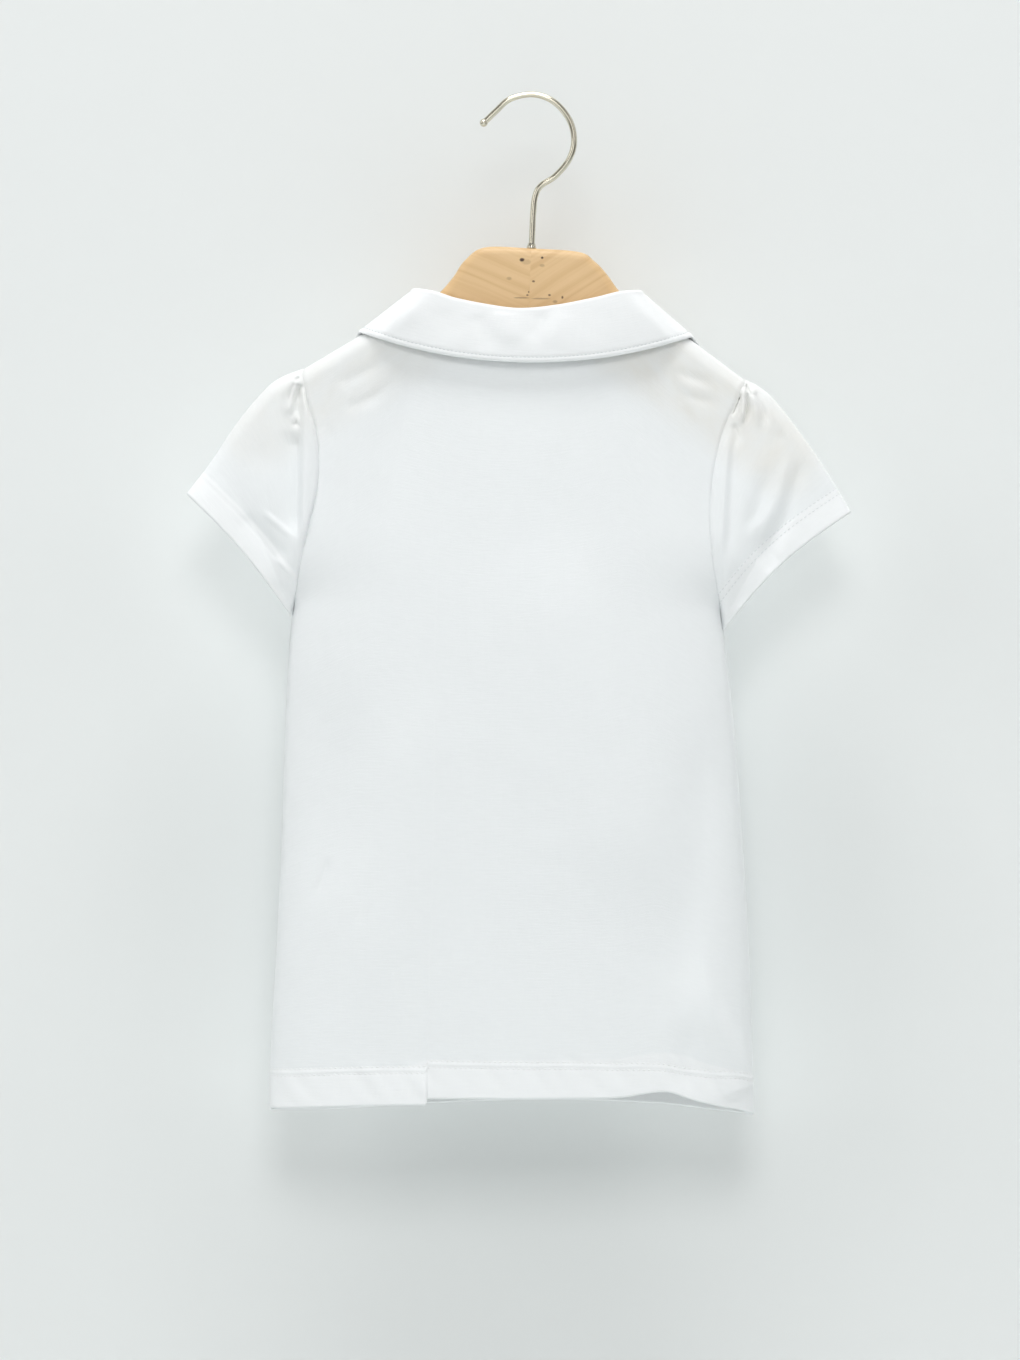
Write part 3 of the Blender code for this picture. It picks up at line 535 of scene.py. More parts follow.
def panel_surface(face, share, rise):
    """Points of a panel's middle surface. Rise goes up its sides, from the hem at 0 to the shoulder at 1."""
    hems = {LEFT: hem_edge(face, np.array(0.0)), RIGHT: hem_edge(face, np.array(1.0))}
    sides = {}
    for side in (LEFT, RIGHT):
        body = mix(hems[side][1], UNDERARM[side][1], np.clip(rise / (1 - ARMHOLE_SHARE), 0.0, 1.0))
        turn = np.clip((rise - 1 + ARMHOLE_SHARE) / ARMHOLE_SHARE, 0.0, 1.0)
        hole = armhole(side, 1 - np.sin(math.pi / 2 * turn))
        above = rise > 1 - ARMHOLE_SHARE
        sides[side] = (np.where(above, hole[0], side_x(side, body)), np.where(above, hole[1], body))
    v = (hems[LEFT][1] - sides[LEFT][1]) / (hems[LEFT][1] - SHOULDER_POINT[LEFT][1])
    top = top_edge(face, share)
    top_u = (top[0] - SHOULDER_POINT[LEFT][0]) / (SHOULDER_POINT[RIGHT][0] - SHOULDER_POINT[LEFT][0])
    u = mix((1 - np.cos(math.pi * share)) / 2, top_u, smooth_step((v - 0.68) / 0.32))
    corners = ((HEMS[0][0], hems[LEFT][1]), (HEMS[-1][0], hems[RIGHT][1]),
               SHOULDER_POINT[LEFT], SHOULDER_POINT[RIGHT])
    hem = hem_edge(face, share)
    x, drop = blended(u, v, hem, top, sides[LEFT], sides[RIGHT], corners)
    depth = layer_depth(x, drop)
    edge_distance = np.minimum(np.abs(x - sides[LEFT][0]), np.abs(x - sides[RIGHT][0]))
    shoulder_distance = np.where((share > SHOULDER_SHARE) & (share < 1 - SHOULDER_SHARE), FAR,
                                 np.abs(below_shoulders(x, drop)))
    from_hem = hem[1] - drop
    folds = PANEL_FOLD_STRENGTH * relief(BACK_FOLDS if face == BACK else FRONT_FOLDS, x, drop)
    folds = folds * smooth_step(depth / FOLD_FADE_DEPTH)
    folds = folds + hem_puckers(x, from_hem, HEM_PUCKER) * smooth_step(depth / FOLD_FADE_DEPTH)
    if face == BACK:
        pleat = np.exp(-np.maximum(HEM_STEP_X - x, 0.0) / PLEAT_REACH)
        pleat = pleat * (1 - smooth_step((x - HEM_STEP_X) / PLEAT_EDGE + 0.5))
        folds = folds + PLEAT_HEIGHT * pleat * smooth_step((drop - PLEAT_TOP) / PLEAT_FADE)
    armholes = np.where(rise > 1 - ARMHOLE_SHARE, seam_dip(edge_distance, PANEL_SEAM_DIP), 0.0)
    depth = depth + folds - armholes * smooth_step(depth / 3.0)
    depth = np.where((share <= 0.0) | (share >= 1.0), np.where(rise > 1 - ARMHOLE_SHARE, depth, 0.0), depth)
    drop = drop + seam_dip(shoulder_distance, SHOULDER_SEAM_DIP, 1.0)
    return np.stack((x, face * np.maximum(depth, LEAST_DEPTH), -drop), axis=-1)


def panel_thickness(face, share, points):
    """A panel's thickness outside and inside its middle surface, with the turned hem and its stitches."""
    hem = hem_edge(face, share)[1]
    from_hem = hem + points[..., 2]
    half = JERSEY_THICKNESS / 2
    top = hem_depth(face, points[..., 0])
    doubled = smooth_step((top + TURNED_PAST - from_hem) / TURNED_FADE)
    rows = sum(seam_dip(from_hem - at, STITCH_DIP, 0.75) for at in (top - HEM_ROWS_APART, top))
    between = HEM_RIDGE * np.exp(-((from_hem - top + HEM_ROWS_APART / 2) / 0.8) ** 2)
    outside = half + DOUBLED_SWELL * doubled - rows + between
    inside = half + JERSEY_THICKNESS * doubled
    return outside, inside


# ---- Cloth shells --------------------------------------------------------------------

def steps_between(stops):
    """A run of numbers from (value, spacing) stops, at those spacings from each stop to the next."""
    values = []
    for (start, spacing), (end, _) in zip(stops, stops[1:]):
        count = max(round(abs(end - start) / spacing), 1)
        values.extend(np.linspace(start, end, count, endpoint=False))
    values.append(stops[-1][0])
    return np.array(values)


def surface_normals(points, closed):
    """The direction square to the surface at each grid point."""
    if closed:
        across = np.roll(points, -1, axis=1) - np.roll(points, 1, axis=1)
    else:
        across = np.gradient(points, axis=1)
    return unit(np.cross(across, np.gradient(points, axis=0)))


def joined(grid, closed):
    """A grid with its first column repeated after the last, where the cloth closes into a tube."""
    return np.concatenate((grid, grid[:, :1]), axis=1) if closed else grid


def lengths_along(points, axis):
    """How far each grid point lies along its own column, for axis 0, or row, for axis 1."""
    lengths = np.cumsum(np.linalg.norm(np.diff(points, axis=axis), axis=-1), axis=axis)
    return np.concatenate((np.zeros_like(lengths.take([0], axis)), lengths), axis=axis)


def four_corners(grid):
    """What a grid holds at the corners of each of its cells."""
    corners = (grid[:-1, :-1], grid[:-1, 1:], grid[1:, 1:], grid[1:, :-1])
    return np.stack([corner.reshape(-1, *grid.shape[2:]) for corner in corners], axis=1)


def shell_edges(points, grid, laid, closed):
    """A shell's edges, as (numbers of the points, places on the flat cloth, directions out of the cloth)."""
    if closed:
        return [(grid[0], laid[0], points[0] - points[1]),
                (grid[-1, ::-1], laid[-1, ::-1], (points[-1] - points[-2])[::-1])]
    away = np.zeros(points.shape)
    away[0] = points[0] - points[1]
    away[-1] = points[-1] - points[-2]
    for edge, next_in in ((0, 1), (-1, -2)):
        at_corner = away[:, edge].any(axis=-1, keepdims=True)
        away[:, edge] += (points[:, edge] - points[:, next_in]) * (at_corner * 0.5 + 0.5)
    ring = np.concatenate((grid[0], grid[1:, -1], grid[-1, -2::-1], grid[-2::-1, 0]))
    return [(ring, laid.reshape(-1, 2)[ring], away.reshape(-1, 3)[ring])]


def cloth_shell(name, points, outside, inside, finish, closed=False):
    """A closed cloth shell on a grid of middle points, whose columns run anticlockwise seen from outside."""
    rows, columns = points.shape[:2]
    layer = rows * columns
    normals = surface_normals(points, closed)
    around = joined(points, closed)
    u = lengths_along(around, 1)
    v = lengths_along(around, 0).mean(axis=1, keepdims=True)
    laid = np.stack(np.broadcast_arrays(u - u[:, [u.shape[1] // 2]], v), axis=-1)
    grid = joined(np.arange(layer).reshape(rows, columns), closed)
    vertices = [(points + normals * outside[..., None]).reshape(-1, 3),
                (points - normals * inside[..., None]).reshape(-1, 3)]
    faces = [four_corners(grid), four_corners(grid)[:, ::-1] + layer]
    maps = [four_corners(laid), four_corners(laid)[:, ::-1]]
    middles = (points + normals * ((outside - inside) / 2)[..., None]).reshape(-1, 3)
    half_walls = ((outside + inside) / 2).reshape(-1, 1)
    placed = 2 * layer
    for ring, places, away in shell_edges(around, grid, laid, closed):
        rim = (middles[ring] + unit(away) * half_walls[ring])[:-1]
        vertices.append(rim)
        rims = np.append(np.arange(len(rim)), 0) + placed
        placed += len(rim)
        for high, low in ((ring, rims), (rims, ring + layer)):
            faces.append(np.stack((high[:-1], low[:-1], low[1:], high[1:]), axis=1))
            maps.append(np.stack((places[:-1], places[:-1], places[1:], places[1:]), axis=1))
    return mesh_piece(name, np.concatenate(vertices), np.concatenate(faces), finish, np.concatenate(maps))


def mesh_piece(name, vertices, faces, finish, laid=None):
    """A smooth-shaded piece from vertices in millimetres and faces of four corners."""
    mesh = bpy.data.meshes.new(name)
    mesh.vertices.add(len(vertices))
    mesh.vertices.foreach_set("co", (vertices * MM).ravel())
    mesh.loops.add(faces.size)
    mesh.loops.foreach_set("vertex_index", faces.ravel().astype(np.int32))
    mesh.polygons.add(len(faces))
    mesh.polygons.foreach_set("loop_start", np.arange(0, faces.size, faces.shape[1], dtype=np.int32))
    mesh.update(calc_edges=True)
    if laid is not None:
        mesh.uv_layers.new(name="cloth").data.foreach_set("uv", (laid * MM).ravel())
    mesh.polygons.foreach_set("use_smooth", np.ones(len(faces), dtype=bool))
    mesh.validate()
    mesh.materials.append(finish)
    piece = bpy.data.objects.new(name, mesh)
    bpy.context.scene.collection.objects.link(piece)
    return piece


def sleeve_surface(side, turn, out):
    """Points of a sleeve's middle surface. Turn goes round it, and out goes from the armhole to the cuff."""
    tops, under, cuff_under = SLEEVE_TOPS[side], UNDERARM[side], CUFF_UNDER[side]
    cuff_top = tops[-1]
    share = (1 - np.cos(turn)) / 2
    back = np.sin(turn) > 0
    face = np.where(back, BACK, FRONT)
    start = armhole(side, share)
    bow = CUFF_HOLLOW[side] * np.sin(math.pi * share)
    cuff = (mix(cuff_top[0], cuff_under[0], share) - side * bow, mix(cuff_top[1], cuff_under[1], share) - bow)
    bottom = (mix(under[0], cuff_under[0], out), mix(under[1], cuff_under[1], out))
    corners = (under, cuff_under, SHOULDER_POINT[side], cuff_top)
    x, drop = blended(out, 1 - share, bottom, along(tops, out), start, cuff, corners)
    seam_depth = layer_depth(*start)
    cuff_depth = CUFF_HALF_DEPTH * (1 - np.abs(2 * share - 1) ** SLEEVE_POWER) ** (1 / SLEEVE_POWER)
    puff = SLEEVE_PUFF * np.sin(math.pi * np.minimum(out * 1.3, 1.0)) * np.sin(math.pi * share)
    depth = mix(seam_depth, cuff_depth, smooth_step(out)) + puff
    from_seam = np.hypot(x - start[0], drop - start[1])
    from_cuff = np.hypot(x - cuff[0], drop - cuff[1])
    back_folds = relief(BACK_SLEEVE_FOLDS[side], x, drop)
    front_folds = relief(FRONT_SLEEVE_FOLDS[side], x, drop)
    folds = np.where(back, back_folds, front_folds) * smooth_step(from_seam / 2.0)
    puckers = hem_puckers(drop, from_cuff * HEM_DEPTH / CUFF_HEM, CUFF_PUCKER)
    folds = folds + puckers * smooth_step(depth / 4.0)
    depth = depth + (folds - seam_dip(from_seam, SLEEVE_SEAM_DIP)) * smooth_step(depth / 3.5)
    edge = (turn == 0.0) | (turn == math.pi)
    return np.stack((x, face * np.where(edge, 0.0, np.maximum(depth, 0.0)), -drop), axis=-1)


def sleeve_thickness(side, turn, points):
    """A sleeve's thickness outside and inside its middle surface, with the turned cuff and its stitches."""
    cuff = sleeve_surface(side, turn, np.ones_like(turn))
    from_cuff = np.linalg.norm(points - cuff, axis=-1)
    half = JERSEY_THICKNESS / 2
    doubled = smooth_step((CUFF_HEM + TURNED_PAST - from_cuff) / TURNED_FADE)
    rows = sum(seam_dip(from_cuff - at, STITCH_DIP, 0.7) for at in (CUFF_HEM - CUFF_ROWS_APART, CUFF_HEM))
    return half + DOUBLED_SWELL * doubled - rows, half + JERSEY_THICKNESS * doubled


# ---- The collar ------------------------------------------------------------------------

def collar_back_station(turn):
    """Neck seam, roll and fall edge of the collar at a share of the back neckline."""
    share = (1 - math.cos(math.pi * turn)) / 2
    roll_x = mix(ROLL_LINE[0][0], ROLL_LINE[-1][0], share)
    roll = (roll_x, float(table_curve(ROLL_LINE, roll_x)))
    (left_x, left_drop), (right_x, right_drop) = FALL_EDGE_ENDS[LEFT], FALL_EDGE_ENDS[RIGHT]
    dip = FALL_EDGE_DIP * (1 - abs(2 * share - 1) ** FALL_EDGE_CURVE)
    edge = (mix(left_x, right_x, share), mix(left_drop, right_drop, share) + dip)
    return BACK, neckline(BACK, share), roll, edge


def collar_front_station(side, turn):
    """The same on one side of the front, from the neck point at 0 to the middle at 1."""
    middle = 0.5 + side * LEAF_GAP / 2 / (NECK_POINT[RIGHT][0] - NECK_POINT[LEFT][0])
    share = mix(0.0 if side == LEFT else 1.0, middle, mix(neck_share(turn / 2) * 2, turn * turn, 0.3))
    neck = neckline(FRONT, share)
    ahead = neckline(FRONT, share + side * 0.002)
    corner = ROLL_LINE[0] if side == LEFT else ROLL_LINE[-1]
    corner_angle = math.atan2(NECK_POINT[side][1] - corner[1], -side * (corner[0] - NECK_POINT[side][0]))
    square_angle = math.atan2(abs(ahead[0] - neck[0]), abs(ahead[1] - neck[1]))
    angle = mix(corner_angle, square_angle, smooth_step(turn * 3))
    stand = mix(math.dist(NECK_POINT[side], corner), FRONT_STAND, smooth_step(turn * 1.5))
    roll = (neck[0] - side * stand * math.cos(angle), neck[1] - stand * math.sin(angle))
    point, shoulder_edge = NECK_POINT[side], FALL_EDGE_ENDS[side]
    width = mix(math.dist(point, shoulder_edge), LEAF_WIDTH, smooth_step(turn * LEAF_SPREAD[side]))
    rounding = max((turn - (1 - LEAF_ROUND)) / LEAF_ROUND, 0.0)
    width = mix(LEAF_END_WIDTH, width, math.sqrt(max(1 - rounding ** 2, 0.0)))
    start_angle = math.atan2(shoulder_edge[1] - point[1], abs(shoulder_edge[0] - point[0]))
    angle = mix(start_angle, LEAF_LAST_ANGLE, smooth_step(turn * 1.15))
    edge = (neck[0] + side * width * math.cos(angle), neck[1] + width * math.sin(angle))
    return FRONT, neck, roll, edge


def collar_stations():
    """Stations from the middle of the front, round the left, the back and the right."""
    turns = [step / COLLAR_FRONT_STEPS for step in range(1, COLLAR_FRONT_STEPS + 1)]
    turns = [mix(turn, math.sin(math.pi / 2 * turn), 0.5) for turn in turns]
    stations = [collar_front_station(LEFT, turn) for turn in reversed(turns)]
    stations += [collar_back_station(step / COLLAR_BACK_STEPS) for step in range(COLLAR_BACK_STEPS + 1)]
    stations += [collar_front_station(RIGHT, turn) for turn in turns]
    return stations


def eased_over_shoulders(points, faces):
    """The collar's grid rounded along its length, close to the two stations where back meets front."""
    steps = np.linalg.norm(np.diff(points, axis=0), axis=2).mean(axis=1)
    reach = np.append(0.0, np.cumsum(steps))
    widths = np.gradient(reach)
    crossings = [at for at, (here, after) in enumerate(zip(faces, faces[1:])) if here != after]
    middles = [(reach[at] + reach[at + 1]) / 2 for at in crossings]
    near = sum(np.exp(-((reach - middle) / SHOULDER_EASE_REACH) ** 2) for middle in middles)
    ease = SHOULDER_EASE * near + LEAST_EASE
    share = np.exp(-((reach[:, None] - reach[None, :]) / ease[:, None]) ** 2) * widths[None, :]
    share /= share.sum(axis=1, keepdims=True)
    return np.einsum("ij,jkl->ikl", share, points)


def edge_slants(stations):
    """How squarely each station meets the collar's edge: 1 where it is square to it."""
    edges = np.array([station[3] for station in stations])
    tangents = np.gradient(edges, axis=0)
    spans = edges - np.array([station[1] for station in stations])
    lengths = np.linalg.norm(spans, axis=1), np.linalg.norm(tangents, axis=1)
    slants = np.maximum(np.abs(np.cross(spans, tangents)) / lengths[0] / lengths[1], LEAST_SLANT)
    padded = np.pad(slants, SLANT_WINDOW // 2, mode="edge")
    return np.convolve(padded, np.ones(SLANT_WINDOW) / SLANT_WINDOW, mode="valid")


def collar_grid(stations):
    """The collar's middle surface: each station climbs the stand, turns at the roll and falls outside.

    Returns the points, station by station, each point's distance from the collar's outline,
    and the grid row of its topstitching.
    """
    neck_middle = (NECK_POINT[LEFT][0] + NECK_POINT[RIGHT][0]) / 2
    lines = []
    distances = []
    for (face, neck, roll, edge), slant in zip(stations, edge_slants(stations)):
        climb = Vector((roll[0] - neck[0], 0.0, neck[1] - roll[1]))
        stand = climb.length - COLLAR_THICKNESS / 2
        climb.normalize()
        sideways = float(turn_short(*neck)) / SHOULDER_ROUND
        turned = math.sqrt(max(1 - sideways ** 2, 0.0))
        outward = Vector((math.copysign(sideways, neck[0] - neck_middle), face * turned, 0.0))
        base = Vector((neck[0], face * float(layer_depth(*neck)), -neck[1])) + climb * STAND_START
        centre = base + climb * (stand - ROLL_RADIUS) + outward * ROLL_RADIUS
        line = [base.lerp(centre - outward * ROLL_RADIUS, share) for share in STAND_SHARES]
        for turn in map(math.radians, range(180, -1, -ROLL_STEP)):
            line.append(centre + ROLL_RADIUS * (outward * math.cos(turn) + climb * math.sin(turn)))
        across = (edge[0] - FALL_EDGE_ENDS[LEFT][0]) / (FALL_EDGE_ENDS[RIGHT][0] - FALL_EDGE_ENDS[LEFT][0])
        rise = FALL_RISE * (1 - (2 * across - 1) ** 2) if face == BACK else 0.0
        lift = LAYERS_APART + FALL_LIFT[face] + rise
        lift = mix(-float(below_shoulders(*edge)), lift, float(smooth_step(1.2 - 1.2 * sideways)))
        start, end = line[-1], Vector((edge[0], face * float(layer_depth(*edge, lift)), -edge[1]))
        fall = (end - start).length
        reach = min(EDGE_STEPS[0] / slant, fall * 0.7) / EDGE_STEPS[0]
        shares = list(np.linspace(0, 1 - EDGE_STEPS[0] * reach / fall, FALL_STEPS)[1:-1])
        shares += [1 - step * reach / fall for step in EDGE_STEPS]
        distances.append([FAR] * len(line) + [(1 - share) * fall / reach for share in shares])
        clearance = LAYERS_APART + mix(SHOULDER_CLEARANCE, FALL_CLEARANCE, turned)
        for share in shares:
            point = start.lerp(end, share)
            bow = turned * FALL_BOW * math.sin(math.pi * share) * min(fall / FALL_BOW_LENGTH, 1.0)
            least = float(layer_depth(point.x, -point.z, clearance))
            point.y = face * (max(face * point.y, least) + bow)
            line.append(point)
        lines.append([tuple(point) for point in line])
    points = eased_over_shoulders(np.array(lines), [station[0] for station in stations])
    from_edge = np.array(distances)
    folds = relief(COLLAR_FOLDS, points[..., 0], -points[..., 2])
    outside_fall = (points[..., 1] < 0) & (from_edge < FAR)
    points[..., 1] -= np.where(outside_fall, folds * smooth_step((from_edge - 2.5) / 5.0), 0.0)
    row = points.shape[1] - len(EDGE_STEPS) + EDGE_STEPS.index(TOPSTITCH_INSET)
    return points, from_edge, row


# ---- Stitches --------------------------------------------------------------------------

def deselect_all():
    """Leaves nothing selected, so that a new shape is made on its own."""
    for item in list(bpy.context.selected_objects):
        item.select_set(False)


def one_stitch():
    """A single stitch of thread, one long and one thick, as corner points and faces."""
    deselect_all()
    bpy.ops.mesh.primitive_cube_add(size=2.0)
    stitch = bpy.context.object
    edit_all()
    bpy.ops.mesh.subdivide(number_cuts=1)
    bpy.ops.object.mode_set(mode="OBJECT")
    corners = np.array([vertex.co.normalized() for vertex in stitch.data.vertices])
    faces = np.array([list(polygon.vertices) for polygon in stitch.data.polygons])
    bpy.data.meshes.remove(stitch.data)
    return corners, faces


def stitch_row(name, paths, pitch, length, thickness, finish):
    """Rows of stitches along paths of (points, normals), as one piece."""
    corners, faces = one_stitch()
    vertices, quads = [], []
    placed = 0
    for points, normals in paths:
        reach = reach_along(points)
        count = int(reach[-1] / pitch)
        middles = (np.arange(count) + 0.5) * reach[-1] / count
        start = read_along(reach, points, middles - length / 2)
        end = read_along(reach, points, middles + length / 2)
        ahead = unit(end - start)
        lift = read_along(reach, normals, middles)
        lift = unit(lift - ahead * np.sum(lift * ahead, axis=1, keepdims=True))
        sideways = np.cross(lift, ahead)
        middle = (start + end) / 2
        arch = STITCH_PROUD - STITCH_ARCH * corners[:, 0] ** 2
        shape = (middle[:, None, :] + ahead[:, None, :] * (corners[:, 0] * length / 2)[None, :, None]
                 + sideways[:, None, :] * (corners[:, 1] * thickness / 2)[None, :, None]
                 + lift[:, None, :] * (corners[:, 2] * thickness / 2 + arch)[None, :, None])
        vertices.append(shape.reshape(-1, 3))
        numbers = faces[None] + (np.arange(count) * len(corners))[:, None, None] + placed
        quads.append(numbers.reshape(-1, 4))
        placed += count * len(corners)
    return mesh_piece(name, np.concatenate(vertices), np.concatenate(quads), finish)


def even_path(path, spacing=1.0):
    """A path resampled at even spacing, from (points, normals)."""
    reach = reach_along(path[0])
    stops = np.linspace(0, reach[-1], int(reach[-1] / spacing) + 1)
    return tuple(read_along(reach, values, stops) for values in path)


# ---- Finishes ----------------------------------------------------------------------------

class Strand:
    """A number running through a material's nodes, so that sums can be written as sums."""

    def __init__(self, finish, socket):
        self.finish = finish
        self.socket = socket

    def __add__(self, other):
        return self.finish.math("ADD", self, other)

    def __sub__(self, other):
        return self.finish.math("SUBTRACT", self, other)

    def __rsub__(self, other):
        return self.finish.math("SUBTRACT", other, self)

    def __mul__(self, other):
        return self.finish.math("MULTIPLY", self, other)

    def __pow__(self, other):
        return self.finish.math("POWER", self, other)

    __radd__ = __add__


class Finish:
    """A material made of nodes."""

    def __init__(self, name, **settings):
        self.material = bpy.data.materials.new(name)
        self.material.use_nodes = True
        self.tree = self.material.node_tree
        self.shader = self.tree.nodes["Principled BSDF"]
        for socket, value in settings.items():
            self.shader.inputs[socket.replace("_", " ")].default_value = value

    def node(self, kind, sockets=None, output=0, **settings):
        node = self.tree.nodes.new(kind)
        for key, value in settings.items():
            setattr(node, key, value)
        for key, value in (sockets or {}).items():
            self.plug(node.inputs[key], value)
        return Strand(self, node.outputs[output])

    def plug(self, socket, value):
        if isinstance(value, Strand):
            self.tree.links.new(value.socket, socket)
        elif socket.type == "RGBA":
            socket.default_value = (*value, 1.0)
        else:
            socket.default_value = value

    def put(self, name, value):
        self.plug(self.shader.inputs[name], value)

    def math(self, operation, *values):
        return self.node("ShaderNodeMath", dict(enumerate(values)), operation=operation)

    def place(self, kind="Object"):
        return self.node("ShaderNodeTexCoord", output=kind)

    def part(self, place, axis):
        """One number of a place: x, y or z for an axis of 0, 1 or 2."""
        return self.node("ShaderNodeSeparateXYZ", {0: place}, axis)

    def marked(self, name):
        """How strongly each point of the cloth carries a mark."""
        return self.node("ShaderNodeAttribute", output=2, attribute_name=name)

    def mapped(self, place, scale=(1, 1, 1), turn=(0, 0, 0)):
        return self.node("ShaderNodeMapping", {"Vector": place, "Scale": scale, "Rotation": turn})

    def noise(self, place, scale, detail=2.0, roughness=0.5):
        return self.node("ShaderNodeTexNoise",
                         {"Vector": place, "Scale": scale, "Detail": detail, "Roughness": roughness})

    def grain(self, place, stretch, detail=2.0, roughness=0.5, scale=1.0):
        """Noise that is finer along some axes than along others."""
        return self.noise(self.mapped(place, stretch), scale, detail, roughness)

    def blend(self, share, first, second):
        return self.node("ShaderNodeMix", {0: share, 6: first, 7: second}, 2, data_type="RGBA")

    def ramp(self, value, stops):
        """Greys read off a ramp of (position, shade) stops."""
        ramp = self.node("ShaderNodeValToRGB", {0: value})
        elements = ramp.socket.node.color_ramp.elements
        while len(elements) < len(stops):
            elements.new(0.5)
        for element, (position, shade) in zip(elements, stops):
            element.position = position
            element.color = (shade, shade, shade, 1.0)
        return ramp

    def bump(self, height, distance, strength=1.0, normal=None):
        sockets = {"Height": height, "Distance": distance, "Strength": strength}
        if normal is not None:
            sockets["Normal"] = normal
        return self.node("ShaderNodeBump", sockets)


WALE = 0.85               # width of a column of knit stitches
COURSE = 0.70             # height of a row of them


STREAK_COLOR = (0.66, 0.70, 0.71)
DOUBLED_COLOR = (0.97, 0.98, 0.99)
# grey of the thread's twist, also used whole as the painted shade of the collar's sunk white topstitching
TWIST_AND_SHADE_COLOR = (0.70, 0.73, 0.74)


def jersey_finish(name, color, wood_shade_color):
    """Fine cotton jersey: columns of knit stitches, slubs along the rows, and painted warm shade where the
    hanger's wood lies beneath.
    """
    finish = Finish(name, Roughness=0.92, Sheen_Weight=0.12, Sheen_Roughness=0.5, Subsurface_Weight=0.3,
                    Subsurface_Radius=(1.0, 1.0, 1.0), Subsurface_Scale=0.0015)
    cloth = finish.place("UV")
    column = finish.math("FRACT", finish.part(cloth, 0) * (1 / (WALE * MM)))
    lean = finish.math("ABSOLUTE", column - 0.5)
    row = finish.math("FRACT", finish.part(cloth, 1) * (1 / (COURSE * MM)) + lean * 1.1)
    leg = 1 - (lean * 4 - 1) ** 2
    loop = 1 - (row * 2 - 1) ** 2
    knit = leg * (loop * 0.6 + 0.4)
    slub = finish.grain(cloth, (110, 1100, 1), 3.0, 0.6)
    yarn = finish.grain(cloth, (420, 1500, 1), 2.0, 0.6)
    soft = finish.grain(cloth, (1, 0.6, 1), 3.0, scale=34.0)
    patches = finish.grain(cloth, (1, 1.6, 1), scale=55.0)
    # painted shade: the cloth turns warmer and darker, in soft patches, where the hanger's wood lies beneath
    # it
    wood_shaded = finish.blend(finish.marked("painted_wood_shade") * (patches * 1.3 + 0.1), color, wood_shade_color)
    streaked = finish.blend(slub * 0.19, wood_shaded, STREAK_COLOR)
    finish.put("Base Color", finish.blend(finish.marked("doubled_cloth") * 0.35, streaked, DOUBLED_COLOR))
    finish.put("Roughness", 0.86 + slub * 0.10)
    normal = finish.bump(soft, 0.0010, 0.5)
    for height, distance in ((slub, 0.00018), (yarn, 0.00005), (knit, 0.00008)):
        normal = finish.bump(height, distance, 0.5, normal)
    finish.put("Normal", normal)
    return finish.material


def thread_finish(name, color):
    """Sewing thread, with its twist."""
    finish = Finish(name, Roughness=0.7, Sheen_Weight=0.2, Sheen_Roughness=0.4)
    twist = finish.grain(finish.place(), (1800, 1800, 1800), 1.0)
    finish.put("Base Color", finish.blend(twist * 0.35, color, TWIST_AND_SHADE_COLOR))
    finish.put("Normal", finish.bump(twist, 0.00006))
    return finish.material


# Marks in the wood: (x, drop, half width, half height, strength, on the left or right arm)
KNOTS = (
    (-5.7, 84.9, 1.45, 1.15, 1.0, LEFT),
    (-3.6, 86.0, 3.0, 1.6, 0.20, LEFT),
    (-2.1, 101.6, 0.7, 0.6, 0.8, LEFT),
    (-2.9, 103.2, 0.8, 0.6, 0.8, LEFT),
    (-12.4, 94.6, 1.7, 1.0, 0.30, LEFT),
    (-6.0, 104.6, 4.6, 0.5, 0.45, LEFT),
    (4.7, 83.8, 0.8, 0.7, 0.95, RIGHT),
    (0.2, 96.0, 0.9, 0.7, 0.75, RIGHT),
    (8.5, 103.2, 0.9, 0.6, 0.8, RIGHT),
    (15.2, 104.4, 0.7, 0.9, 0.85, RIGHT),
    (4.6, 87.8, 1.6, 0.9, 0.30, RIGHT),
    (4.0, 105.0, 5.0, 0.5, 0.40, RIGHT),
    (11.4, 106.6, 1.6, 0.9, 0.35, RIGHT),
)


WOOD_COLORS = {
    "early wood": (0.745, 0.515, 0.270),
    "broad band": (0.680, 0.448, 0.216),
    "late wood": (0.540, 0.312, 0.122),
    "fibre": (0.785, 0.577, 0.330),
    "knot": (0.055, 0.022, 0.008),
}


